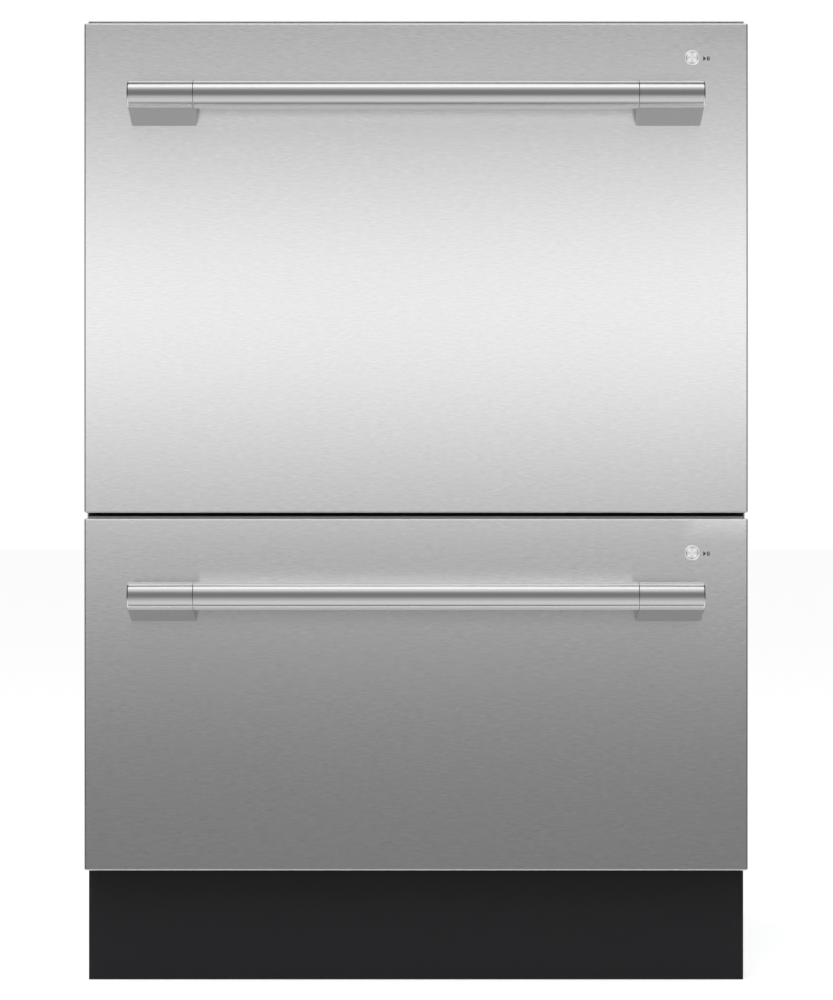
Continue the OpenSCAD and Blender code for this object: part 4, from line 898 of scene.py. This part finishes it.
for level in DRAWERS:
    k = rack_sizes(level)
    bm = bmesh.new()
    top = k["z1"] + RIM_D * 0.35
    side, z0 = k["side"], k["z0"]
    for y in spread(9, k["l"], EDGE_GAP):
        y += k["mid"]
        wire(bm, [(-side, y, top), (-side, y, z0), (side, y, z0), (side, y, top)], WIRE_D, BEND)
    cross_z = z0 + WIRE_D + WELD
    a, b = k["mid"] - k["end"], k["mid"] + k["end"]
    for x in spread(8, k["w"], EDGE_GAP):
        wire(bm, [(x, a, top), (x, a, cross_z), (x, b, cross_z), (x, b, top)], WIRE_D, BEND)
    for x in (-TINE_ROW_X, TINE_ROW_X):
        wire(bm, [(x, a, cross_z), (x, b, cross_z)], WIRE_D)
        for i in (0.5, TINES / 2 - 1, TINES - 1.5):
            eye_ring(bm, x, k["mid"] + (i - (TINES - 1) / 2) * TINE_PITCH, k["spine"], WIRE_D)
    w, y0, y1 = k["w"] / 2, k["mid"] - k["l"] / 2, k["mid"] + k["l"] / 2
    for z in (k["z1"], (z0 + k["z1"]) / 2):
        wire(bm, [(0, y0, z), (w, y0, z), (w, y1, z), (-w, y1, z), (-w, y0, z), (0, y0, z)], RIM_D,
             CORNER, sides=12, turn=10)
    x, z, half = -(side - WIRE_D - WELD), k["cup_z"], CUP_LEN / 2 + 10 * MM
    wire(bm, [(x, k["mid"] - half, z), (x, k["mid"] + half, z)], WIRE_D)
    for i in (0.5, CUP_WIRES - 1.5):
        y = k["mid"] + (i / (CUP_WIRES - 1) - 0.5) * (CUP_LEN - 2 * CUP_END)
        eye_ring(bm, k["cup_x"], y, z, RIM_D)
    bmesh.ops.remove_doubles(bm, verts=bm.verts, dist=0.002 * MM)
    outward(bm)
    foot_y = k["l"] / 2 - EDGE_GAP
    foot = [(0, 0), (0, STUB_R - 1.2 * MM), (0.4 * MM, STUB_R - 0.4 * MM), (1.4 * MM, STUB_R),
            (RACK_RISE - 3.5 * MM, STUB_R), (RACK_RISE - 2.2 * MM, STUB_R - 1 * MM),
            (RACK_RISE - 1.8 * MM, 0)]
    feet = bmesh.new()
    for sx in (-1, 1):
        for sy in (-1, 1):
            low = Vector((sx * (w - CORNER), k["mid"] + sy * foot_y, k["floor"]))
            turned(feet, foot, (0, 0, 1), low, 20)
    outward(feet)
    join(bm, feet)
    piece(level + "_wire_rack", bm, level + "_drawer", coating, [level + "_rack"],
          weighted=False)

# %% [markdown]
# The tines stand in rows on a spine that turns in the eyes, so a row folds down flat for pots.
# Their tips are domed by two short pulls that get smaller, as the dip leaves a round drop.

# %% Tine rows
for level in DRAWERS:
    k = rack_sizes(level)
    reach, spine = (TINES - 1) / 2 * TINE_PITCH, k["spine"]
    root, tip = spine + WIRE_D * 0.4, spine + TINE_H - WIRE_D * 0.38
    end = reach + 8 * MM
    for side, x in (("left", -TINE_ROW_X), ("right", TINE_ROW_X)):
        bm = bmesh.new()
        wire(bm, [(x, k["mid"] - end, spine), (x, k["mid"] + end, spine)], WIRE_D)
        for i in range(TINES):
            y = k["mid"] - reach + i * TINE_PITCH
            wire(bm, [(x, y, root), (x, y, tip)], WIRE_D, domed=True)
        outward(bm)
        piece(level + "_tine_wires_" + side, bm, level + "_" + side + "_tine_row", coating,
              [level + "_tines_" + side], weighted=False)

# %% Cup shelves
for level in DRAWERS:
    k = rack_sizes(level)
    z, x0 = k["cup_z"], k["cup_x"]
    y0, y1 = k["mid"] - CUP_LEN / 2 + RIM_D / 2, k["mid"] + CUP_LEN / 2 - RIM_D / 2
    bm = bmesh.new()
    wire(bm, [(x0, k["mid"], z), (x0, y0, z), (x0 + CUP_W, y0, z), (x0 + CUP_W, y1, z), (x0, y1, z),
              (x0, k["mid"], z)], RIM_D, 10 * MM, sides=12)
    wire(bm, [(x0 + CUP_W / 2, y0, z), (x0 + CUP_W / 2, y1, z)], WIRE_D)
    low = z - (RIM_D + WIRE_D) / 2 - WELD
    for y in spread(CUP_WIRES, CUP_LEN, CUP_END):
        y += k["mid"]
        wire(bm, [(x0, y, low), (x0 + CUP_W, y, low)], WIRE_D, domed=True)
    bmesh.ops.remove_doubles(bm, verts=bm.verts, dist=0.002 * MM)
    outward(bm)
    piece(level + "_cup_wires", bm, level + "_cup_shelf", coating, [level + "_cup_rack"],
          weighted=False)

# %% [markdown]
# ## Dressing the solids
# Many solids already have the right shape: folded sheets, slides, lids, mouldings. They stay,
# and get what the eye misses on them: edges that catch light. Their meshes are loose
# triangles, so a Weld comes first, and on the big panels the triangles of a flat are joined. A
# narrow Bevel rounds the sharp edges, and a small node group marks what is still above 30
# degrees as sharp and smooths the rest. Weighted normals keep the big panels flat right up to
# their pressed beads.

# %% Edge finish for a carried-over solid
edge_marks = bpy.data.node_groups.new("smooth_below_30_degrees", "GeometryNodeTree")
edge_marks.interface.new_socket("Geometry", in_out="INPUT", socket_type="NodeSocketGeometry")
edge_marks.interface.new_socket("Geometry", in_out="OUTPUT", socket_type="NodeSocketGeometry")
came = edge_marks.nodes.new("NodeGroupInput")
turn = edge_marks.nodes.new("GeometryNodeInputMeshEdgeAngle")
flat = edge_marks.nodes.new("FunctionNodeCompare")
flat.operation = "LESS_THAN"
flat.inputs[1].default_value = math.radians(30)
faces = edge_marks.nodes.new("GeometryNodeSetShadeSmooth")
rims = edge_marks.nodes.new("GeometryNodeSetShadeSmooth")
rims.domain = "EDGE"
gone = edge_marks.nodes.new("NodeGroupOutput")
edge_marks.links.new(came.outputs[0], faces.inputs["Geometry"])
edge_marks.links.new(faces.outputs[0], rims.inputs["Geometry"])
edge_marks.links.new(turn.outputs["Unsigned Angle"], flat.inputs[0])
edge_marks.links.new(flat.outputs["Result"], rims.inputs["Shade Smooth"])
edge_marks.links.new(rims.outputs[0], gone.inputs[0])


def dress(names, material, radius=0.4 * MM, joined=False):
    """Gives solids their material and edges; joined melts the triangles of a flat into one."""
    for name in names:
        obj = nodes[name]
        obj.data.materials.clear()
        obj.data.materials.append(material)
        weld = obj.modifiers.new("weld", "WELD")
        weld.merge_threshold = 0.002 * MM
        if joined:
            flats = obj.modifiers.new("joined_flats", "DECIMATE")
            flats.decimate_type, flats.angle_limit = "DISSOLVE", math.radians(0.5)
        if radius:
            edge = obj.modifiers.new("edges", "BEVEL")
            edge.width, edge.segments = radius, 2
            edge.limit_method, edge.angle_limit = "ANGLE", math.radians(35)
            edge.use_clamp_overlap = True
        obj.modifiers.new("shading", "NODES").node_group = edge_marks
        obj.modifiers.new("flat_faces", "WEIGHTED_NORMAL").keep_sharp = True
        bodywork.objects.link(obj)
    print(material.name, "on", len(names), "solids")


def both(*names):
    """The upper and the lower drawer's nodes of these names."""
    return [level + "_" + name for level in DRAWERS for name in names]


# %% Plastics and rubber
# Polypropylene of the tub: cool white and waxy.
tub_plastic = moulded("white_polypropylene", "DADCDD", 0.32, tint=0.02, IOR=1.49)
# Lid and flap: the same plastic with a finer, glossier tool.
lid_plastic = moulded("gloss_white_polypropylene", "D4D6D8", 0.27, grain=0.3, tint=0.02, IOR=1.49)
# Basket, spray arm and dispenser: dyed mid grey and a little duller.
grey_plastic = moulded("grey_polypropylene", "8C9196", 0.38, tint=0.04, IOR=1.49)
# Liner and lifter housings: ABS from an etched tool, so a visible soft grain and a dull sheen.
liner_abs = moulded("grey_abs_liner", "B0B2B4", 0.42, grain=0.7, depth=0.04, tint=0.03, IOR=1.54)
housing_abs = moulded("light_grey_abs_housing", "A9ADB1", 0.45, grain=0.6, depth=0.05, tint=0.04,
                      IOR=1.54)
# Glass-filled nylon: black, dull, with the fibres' flow in the skin.
pump_nylon = moulded("black_glass_filled_nylon", "1D1E20", 0.48, grain=0.9, depth=0.05, tint=0.15,
                     IOR=1.54)
# Rubber of seals and feet: matt, with a powdery skin.
seal_rubber = moulded("black_epdm_rubber", "1B1B1C", 0.62, grain=0.5, depth=0.03, tint=0.1, IOR=1.52)
foot_rubber = moulded("dark_grey_foot_rubber", "2B2C2E", 0.6, grain=0.6, depth=0.04, tint=0.1,
                      IOR=1.52)

# %% Plated, galvanised and polished metal
# Bright zinc plating on cold-rolled strip: rolled lines along the slides and a cool shine.
plated, tree, shader, place = start("bright_zinc_plating", "D3D7DC", 0.27, Metallic=1.0)
grain = add(tree, "Mapping", {"Scale": (1 / (0.8 * MM), 1 / (120 * MM), 1 / (0.8 * MM))},
            {"Vector": place})
rolled = add(tree, "TexNoise", {"Scale": 1.0, "Detail": 3.0}, {"Vector": grain.outputs["Vector"]})
tone = add(tree, "ValToRGB", links={"Fac": rolled.outputs["Fac"]})
tone.color_ramp.elements[0].color = paint("C4C9CF")
tone.color_ramp.elements[1].color = paint("E0E3E6")
uneven = add(tree, "MapRange", {"To Min": 0.22, "To Max": 0.34}, {"Value": rolled.outputs["Fac"]})
bump = add(tree, "Bump", {"Strength": 0.3, "Distance": 0.02 * MM}, {"Height": rolled.outputs["Fac"]})
feed(tree, shader, {"Base Color": tone.outputs["Color"], "Roughness": uneven.outputs["Result"],
                    "Normal": bump.outputs["Normal"]})

# Hot-dip galvanised sheet: zinc crystals of about 14 mm, each with its own grey and gloss.
galvanised, tree, shader, place = start("galvanised_sheet", "BFC3C6", 0.42, Metallic=0.85)
bent = add(tree, "TexNoise", {"Scale": 1 / (9 * MM), "Detail": 2.0}, {"Vector": place})
pushed = add(tree, "VectorMath", {1: (6 * MM, 6 * MM, 6 * MM)}, {0: bent.outputs["Color"]},
             operation="MULTIPLY")
moved = add(tree, "VectorMath", links={0: place, 1: pushed.outputs["Vector"]}, operation="ADD")
crystal = add(tree, "TexVoronoi", {"Scale": 1 / (14 * MM)}, {"Vector": moved.outputs["Vector"]})
shade = add(tree, "SeparateColor", links={"Color": crystal.outputs["Color"]})
tone = add(tree, "ValToRGB", links={"Fac": shade.outputs["Red"]})
tone.color_ramp.elements[0].color = paint("B9BDC0")
tone.color_ramp.elements[1].color = paint("C6CACC")
uneven = add(tree, "MapRange", {"To Min": 0.34, "To Max": 0.5}, {"Value": shade.outputs["Green"]})
fine = add(tree, "TexNoise", {"Scale": 1 / (1.2 * MM), "Detail": 2.0}, {"Vector": place})
bump = add(tree, "Bump", {"Strength": 0.3, "Distance": 0.03 * MM}, {"Height": fine.outputs["Fac"]})
feed(tree, shader, {"Base Color": tone.outputs["Color"], "Roughness": uneven.outputs["Result"],
                    "Normal": bump.outputs["Normal"]})

# Electropolished stainless of the filter plate: fine, even and bright.
filter_steel = moulded("electropolished_stainless", "D8D9DA", 0.24, grain=0.6, depth=0.01,
                       tint=0.03, Metallic=1.0)

# %% Solids that stay
dress(["side_panel_left", "side_panel_right", "rear_panel", "top_panel", "base_tray"], galvanised,
      joined=True)
dress(["cross_rail"], powder)
dress(both("rails", "middle_slides", "drawer_slides"), plated, 0.3 * MM)
dress(both("front_liner"), liner_abs, 0.6 * MM)
dress(both("lid_lifters"), housing_abs, 0.6 * MM)
dress(both("lid"), lid_plastic, 0.7 * MM)
dress(both("lid_seal"), seal_rubber, 0.5 * MM)
dress(both("wash_pump") + ["mains_box"], pump_nylon, 0.6 * MM)
dress(both("filter_plate"), filter_steel, 0)
dress(both("spray_arm", "dispenser"), grey_plastic, 0.5 * MM)
dress(both("dispenser_flap"), lid_plastic, 0.5 * MM)
dress(both("cutlery_basket"), grey_plastic, 0.4 * MM)
dress(["drain_connector"], grey_plastic, 0.6 * MM)

# %% [markdown]
# A thin bead of black rubber runs along the top of each liner's strip, as painted shade: it draws
# the dark line of shade along the top edge of the strip.

# %% Painted shade beads of the fronts' strips
SHADE_BEAD = 0.7 * MM
for level in DRAWERS:
    strip_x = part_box(level + "_front_skin")[1].x - STRIP_INSET - 0.2 * MM
    top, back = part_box(level + "_front_liner")[1].z, y_face + TOP_RETURN
    bm = bmesh.new()
    # A black bead as painted shade: it draws the dark line along the strip's top edge.
    made = box_mesh(bm, (-strip_x, back - 0.4 * MM, top - SHADE_BEAD), (strip_x, back + 2 * MM, top))
    ease_all(bm, made, 0.2 * MM, 3)
    piece(level + "_strip_shade_line", bm, level + "_drawer", seal_rubber)

# %% [markdown]
# ## Tubs
# A tub is one big moulding. It starts as a box whose bottom is a little smaller, because
# walls must lean so that the moulding leaves its tool. Its upright edges are bevelled to the
# corner radius, then the edge of its floor. The floor is opened to the round sump by bridging
# its outline to a circle, and the rim is pulled outwards and down. This skin is the tub's
# inner face and the top of its flange, so that a Solidify away from it leaves both in place.

# %% Tub shells
TUB_W, FLANGE, TUB_WALL, TUB_FLOOR = 526 * MM, 6 * MM, 3 * MM, 5 * MM
TUB_CORNER, TUB_EDGE, DRAFT, SUMP_R = 45 * MM, 28 * MM, 5 * MM, 75 * MM
LEDGE_T, RIB_T, RIB_H, RIBS = 5 * MM, 2 * MM, 64 * MM, 7
CUP_LAP = 6.5 * MM  # how far the dispenser's flange laps over its opening in the front wall


def pull_out(bm, edges, step):
    """Extrudes edges and moves each new vertex by step(vertex)."""
    def move(verts):
        for v in verts:
            v.co += step(v)
    return pulled(bm, edges, move)


def flat_place(v):
    return round(v.co.x, 6), round(v.co.y, 6)


for level in DRAWERS:
    lo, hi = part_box(level + "_tub")
    mid_y = (lo.y + hi.y) / 2
    w, l = TUB_W / 2 - TUB_WALL, (hi.y - lo.y) / 2 - FLANGE - TUB_WALL
    base = lo.z + TUB_FLOOR
    bm = bmesh.new()
    for v in box_mesh(bm, (-w, mid_y - l, base), (w, mid_y + l, hi.z)):
        if v.co.z < hi.z - MM:
            v.co.x -= math.copysign(DRAFT, v.co.x)
            v.co.y -= math.copysign(DRAFT, v.co.y - mid_y)
    upright = [e for e in bm.edges if abs(e.verts[0].co.z - e.verts[1].co.z) > 50 * MM]
    ease(bm, upright, TUB_CORNER - TUB_WALL, 12)
    ease(bm, [e for e in bm.edges if all(v.co.z < base + MM for v in e.verts)], TUB_EDGE - TUB_WALL, 8)
    ends = [f for f in bm.faces if abs(f.normal.z) > 0.999]
    bmesh.ops.delete(bm, geom=ends, context="FACES_ONLY")
    floor_rim = [e for e in bm.edges if e.is_boundary and e.verts[0].co.z < base + MM]
    hole = bmesh.ops.create_circle(bm, segments=64, radius=SUMP_R,
                                   matrix=Matrix.Translation((0, mid_y, base)))
    hole_rim = list({e for v in hole["verts"] for e in v.link_edges})
    bmesh.ops.bridge_loops(bm, edges=floor_rim + hole_rim)
    pull_out(bm, hole_rim, lambda v: Vector((0, 0, -2 * MM)))
    cup_lo, cup_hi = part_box(level + "_dispenser")
    left, right = cup_lo.x + CUP_LAP, cup_hi.x - CUP_LAP
    low, high = cup_lo.z + CUP_LAP, cup_hi.z - CUP_LAP
    for at, axis in ((left, (1, 0, 0)), (right, (1, 0, 0)), (low, (0, 0, 1)), (high, (0, 0, 1))):
        slit(bm, [f for f in bm.faces if f.normal.y < -0.9], Vector(axis) * at, axis)
    middles = [(f, f.calc_center_median()) for f in bm.faces if f.normal.y < -0.9]
    window = [f for f, m in middles if left < m.x < right and low < m.z < high]
    bmesh.ops.delete(bm, geom=window, context="FACES")
    rim = [e for e in bm.edges if e.is_boundary and all(v.co.z > hi.z - 0.01 * MM for v in e.verts)]
    bm.normal_update()
    outwards_at = {flat_place(v): Vector((v.normal.x, v.normal.y, 0)).normalized()
                   for e in rim for v in e.verts}
    outer = pull_out(bm, rim, lambda v: outwards_at[flat_place(v)] * (FLANGE + TUB_WALL))
    pull_out(bm, outer, lambda v: Vector((0, 0, -4 * MM)))
    outward(bm)
    lip = min(bm.faces, key=lambda f: f.calc_center_median().y)
    if lip.normal.y > 0:
        bmesh.ops.reverse_faces(bm, faces=bm.faces)
    piece(level + "_tub_shell", bm, level + "_drawer", tub_plastic, [level + "_tub"],
          angle=40, wall=TUB_WALL, edge=1 * MM)

# %% [markdown]
# Outside, the rim's flange stands on thin ribs, as on a mould that must not warp, and a ledge
# at each side carries the slides under ribs of its own. The ribs of one side are mirrored.

# %% Tub ribs and side ledges
for level in DRAWERS:
    lo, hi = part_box(level + "_tub")
    mid_y = (lo.y + hi.y) / 2
    w, l = TUB_W / 2, (hi.y - lo.y) / 2 - FLANGE
    bm = bmesh.new()

    def wall_x(z):
        """The side wall's outer face at this height, a little inside it."""
        return w - DRAFT * min(1, (hi.z - z) / (hi.z - lo.z - TUB_EDGE)) - 1.5 * MM

    slide_lo, slide_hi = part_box(level + "_rails")
    ledge = (slide_lo.z + slide_hi.z) / 2 + 5 * MM
    ledge_lo, ledge_hi = mid_y - l + TUB_CORNER, mid_y + l - TUB_CORNER
    blocks = []
    rib_lo, rib_hi = hi.z - RIB_H, hi.z - 2 * MM
    for y in spread(RIBS, 2 * l, TUB_CORNER + 12 * MM):
        y0, y1 = y + mid_y - RIB_T / 2, y + mid_y + RIB_T / 2
        blocks.append(((wall_x(rib_lo), y0, rib_lo), (w + FLANGE - MM, y1, rib_hi)))
        blocks.append(((wall_x(ledge), y0, ledge + MM), (w + 12 * MM, y1, ledge + LEDGE_T + 17 * MM)))
    blocks.append(((wall_x(ledge), ledge_lo, ledge), (hi.x, ledge_hi, ledge + LEDGE_T)))
    for a, b in list(blocks):
        blocks.append(((-b[0], a[1], a[2]), (-a[0], b[1], b[2])))
    rear = mid_y + l
    for x in spread(RIBS, 2 * w, TUB_CORNER + 12 * MM):
        blocks.append(((x - RIB_T / 2, rear - 2 * MM, rib_lo), (x + RIB_T / 2, rear + FLANGE - MM, rib_hi)))
    for a, b in blocks:
        ease_all(bm, box_mesh(bm, a, b), 0.5 * MM, 1)
    piece(level + "_tub_ribs", bm, level + "_drawer", tub_plastic)

# %% [markdown]
# ## Levelling feet
# Each foot is a steel screw with a hexagon at its lower end, moulded into a rubber-skinned pad.
# Pad and screw are turned profiles. The thread of 1.5 mm pitch is drawn as rings: side by side
# they look the same as the one long groove, and a ring closes on itself. The hexagon is a cone
# of six sides with both ends alike, and its corners are eased.

# %% Threads and feet
def thread(at, length, radius, pitch=1.5 * MM, depth=0.9 * MM):
    """Profile points of a ringed thread from at to at + length."""
    turns = int(length / pitch)
    points = []
    for i in range(turns):
        a = at + i * pitch
        points += [(a, radius - depth), (a + 0.4 * pitch, radius), (a + 0.55 * pitch, radius)]
    return points + [(at + turns * pitch, radius - depth)]


SCREW_R, CORE_R, HEX_R, HEX_H = 5 * MM, 4.1 * MM, 8.5 * MM, 8 * MM
PAD_TOP = 9 * MM
HEX_TOP = PAD_TOP + HEX_H
for node in [name for name in nodes if name.startswith("foot_")]:
    lo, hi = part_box(node)
    centre = Vector(((lo.x + hi.x) / 2, (lo.y + hi.y) / 2, 0))
    r, top = (hi.x - lo.x) / 2, hi.z
    under = [(0.6 * MM, 0), (0.6 * MM, 8 * MM), (0, 9 * MM), (0, 12 * MM), (0.8 * MM, 12.6 * MM),
             (0.8 * MM, 15 * MM), (0, 15.6 * MM), (0, r - 1.2 * MM)]
    rim = [(0.35 * MM, r - 0.35 * MM), (1.2 * MM, r), (3.6 * MM, r), (4.6 * MM, r - 0.5 * MM)]
    slope = [(6.3 * MM, 14.5 * MM), (7.6 * MM, 11.4 * MM), (8.4 * MM, 10.4 * MM), (PAD_TOP, 9.6 * MM),
             (PAD_TOP, 0)]
    bm = bmesh.new()
    turned(bm, under + rim + slope, (0, 0, 1), centre, 64)
    outward(bm)
    piece(node + "_pad", bm, node + "_body", foot_rubber, [node])

    bm = bmesh.new()
    profile = [(HEX_TOP, 0), (HEX_TOP, CORE_R)] + thread(HEX_TOP + 0.5 * MM, top - 20 * MM, SCREW_R)
    profile += [(top - 1.2 * MM, CORE_R), (top, 3.2 * MM), (top, 0)]
    turned(bm, profile, (0, 0, 1), centre, 24)
    nut = bmesh.ops.create_cone(bm, cap_ends=True, segments=6, radius1=HEX_R, radius2=HEX_R, depth=HEX_H,
                                matrix=Matrix.Translation(centre + Vector((0, 0, PAD_TOP + HEX_H / 2))))
    ease_all(bm, nut["verts"], 0.6 * MM, 3)
    outward(bm)
    screw = piece(node + "_screw", bm, node + "_body", plated, weighted=False)
    bodywork.objects.link(screw)

# %% [markdown]
# ## Water valve
# The valve is white nylon: a block on the tray, a threaded spigot of 3/4 inch for the hose that
# opens to the rear, and on top the moulded coil with its ribs and two flat terminals.

# %% Water valve
lo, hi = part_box("water_inlet_valve")
INLET_X, INLET_R, PORT_Z, VALVE_L = (lo.x + hi.x) / 2, 13.2 * MM, 96.2 * MM, 36 * MM
COLLAR_R, BORE_R = INLET_R + 4 * MM, 0.7 * INLET_R
block_end, block_top = lo.y + VALVE_L, PORT_Z + COLLAR_R
bm = bmesh.new()
ease_all(bm, box_mesh(bm, (lo.x, lo.y, lo.z), (hi.x, block_end, block_top)), 3 * MM, 4)
start_y = block_end - 4 * MM
mouth = hi.y - start_y
profile = [(0, 0), (0, COLLAR_R), (7.4 * MM, COLLAR_R), (8 * MM, COLLAR_R - 0.6 * MM),
           (8 * MM, INLET_R - 1.2 * MM)]
profile += thread(9 * MM, mouth - 11 * MM, INLET_R, 1.8 * MM, 1.1 * MM)
profile += [(mouth, INLET_R - 1.4 * MM), (mouth, BORE_R), (mouth - 14 * MM, BORE_R), (mouth - 14 * MM, 0)]
turned(bm, profile, (0, 1, 0), Vector((INLET_X, start_y, PORT_Z)), 48)
outward(bm)
piece("water_valve_body", bm, "chassis", lid_plastic, ["water_inlet_valve"])

# %% Valve coil and terminals
COIL_R, WAIST_R, GROOVE_R, COIL_RIBS, RIB_PITCH = 15 * MM, 14.2 * MM, 13.5 * MM, 4, 3.6 * MM
coil_y, coil_h = lo.y + 16 * MM, hi.z - block_top
profile = [(0, 0), (0, COIL_R), (1.6 * MM, COIL_R), (2.2 * MM, WAIST_R)]
for i in range(COIL_RIBS):
    z = RIB_PITCH * (i + 1)
    profile += [(z, WAIST_R), (z + 0.5 * MM, GROOVE_R), (z + 1.3 * MM, GROOVE_R), (z + 1.8 * MM, WAIST_R)]
profile += [(coil_h - 2 * MM, COIL_R), (coil_h - 0.6 * MM, COIL_R), (coil_h, WAIST_R), (coil_h, 5 * MM),
            (coil_h - 1 * MM, 4.6 * MM), (coil_h - 1 * MM, 0)]
bm = bmesh.new()
turned(bm, profile, (0, 0, 1), Vector((INLET_X, coil_y, block_top)), 48)
outward(bm)
piece("water_valve_coil", bm, "chassis", housing_abs)

TONGUE_T, TONGUE_GAP = 0.8 * MM, 8 * MM
bm = bmesh.new()
for x in (INLET_X - TONGUE_GAP / 2, INLET_X + TONGUE_GAP / 2):
    tongue = box_mesh(bm, (x - TONGUE_T / 2, coil_y + 14 * MM, block_top + 4 * MM),
                      (x + TONGUE_T / 2, coil_y + 22 * MM, block_top + 10.3 * MM))
    ease_all(bm, tongue, 0.2 * MM, 2)
piece("water_valve_terminals", bm, "chassis", plated)

# %% [markdown]
# ## Screws
# Sheet metal is held by pan-head screws of 4 mm, and at the sides, where the cabinet is close, by
# flat ones whose heads are 0.9 mm high. One turned profile makes the head with its rounded top
# and the hole for the key, and all screws of a part are one mesh.

# %% Pan-head screws
def pan_head(bm, at, axis, r, h):
    """A screw head of radius r and height h that stands at a place along an axis."""
    profile = [(-0.4 * MM, 0), (-0.4 * MM, r), (0.3 * h, r), (0.62 * h, 0.93 * r),
               (0.86 * h, 0.76 * r), (h, 0.5 * r), (h - 0.05 * MM, 0.4 * r), (0.35 * h, 0.36 * r),
               (0.25 * h, 0)]
    turned(bm, profile, axis, Vector(at), 20)


box_lo, box_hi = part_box("mains_box")
bm = bmesh.new()
for x in (box_lo.x + 9 * MM, box_hi.x - 9 * MM):
    for y in (box_lo.y + 9 * MM, box_lo.y + 28 * MM):
        pan_head(bm, (x, y, box_hi.z), (0, 0, 1), 3.2 * MM, 1.9 * MM)
outward(bm)
cover_screws = piece("mains_box_screws", bm, "chassis", plated, weighted=False)
bodywork.objects.link(cover_screws)

bm = bmesh.new()
for side, s in (("left", -1), ("right", 1)):
    side_lo, side_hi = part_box("side_panel_" + side)
    outer = side_lo.x if s < 0 else side_hi.x
    for z in (130 * MM, 350 * MM, 600 * MM, 850 * MM):
        pan_head(bm, (outer, side_hi.y - 9 * MM, z), (s, 0, 0), 4.4 * MM, 0.9 * MM)
outward(bm)
panel_screws = piece("side_panel_screws", bm, "chassis", plated, weighted=False)
bodywork.objects.link(panel_screws)

# %% [markdown]
# ## Spray arm nozzles, basket handle, dispenser tab
# Small mouldings that a user touches or sees when the drawer is open. Each nozzle has a raised
# lip, the cutlery basket is lifted by a bent rod that grows from its inner walls, and the
# dispenser's flap has a finger tab at its free edge.

# %% Nozzle lips
TIP_W, HUB_R, NOZZLE_R = 26 * MM, 8 * MM, 1.5 * MM
LIP = [(-0.6 * MM, NOZZLE_R), (-0.6 * MM, 3.6 * MM), (0.3 * MM, 3.3 * MM), (0.8 * MM, 2.6 * MM),
       (0.8 * MM, 1.9 * MM), (0.5 * MM, NOZZLE_R), (-0.6 * MM, NOZZLE_R)]
for level in DRAWERS:
    lo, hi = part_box(level + "_spray_arm")
    mid = (lo + hi) / 2
    length = hi.x - lo.x
    reach = (length - TIP_W) / 2
    bm = bmesh.new()
    for s in (-1, 1):
        for i in range(5):
            x, y = s * (reach - i * length / 13), s * (i % 2) * 5 * MM
            # The arm's deck falls by 2 mm from its hub to its tip.
            deck = lo.z - MM + (12 - 2 * (abs(x) - HUB_R) / (reach - HUB_R)) * MM
            turned(bm, LIP, (0, 0, 1), Vector((mid.x + x, mid.y + y, deck)), 20)
    outward(bm)
    piece(level + "_nozzle_lips", bm, level + "_arm", grey_plastic, weighted=False)

# %% Basket handles
HANDLE_D, HANDLE_BEND, HANDLE_RISE = 8 * MM, 14 * MM, 30 * MM
for level in DRAWERS:
    lo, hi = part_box(level + "_cutlery_basket")
    x, mid_y = (lo.x + hi.x) / 2, (lo.y + hi.y) / 2
    half = (hi.y - lo.y) / 6
    a, b = mid_y - half, mid_y + half
    low, high = hi.z - HANDLE_RISE, hi.z + HANDLE_RISE
    bm = bmesh.new()
    wire(bm, [(x, a, low), (x, a, high), (x, b, high), (x, b, low)], HANDLE_D, HANDLE_BEND, sides=16,
         turn=8)
    outward(bm)
    piece(level + "_basket_handle", bm, level + "_drawer", grey_plastic, weighted=False)

# %% Dispenser tabs
TAB_HALF, TAB_OUT = 13 * MM, 3 * MM
for level in DRAWERS:
    lo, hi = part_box(level + "_dispenser_flap")
    bm = bmesh.new()
    tab = box_mesh(bm, (-TAB_HALF, lo.y + 0.2 * MM, lo.z + 1 * MM),
                   (TAB_HALF, hi.y + TAB_OUT, lo.z + 4.5 * MM))
    ease_all(bm, tab, 1.2 * MM, 4)
    piece(level + "_flap_tab", bm, level + "_flap", lid_plastic)

# %% Finish
lo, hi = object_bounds()
print("visual box in mm:", [round(v / MM, 1) for v in hi - lo])
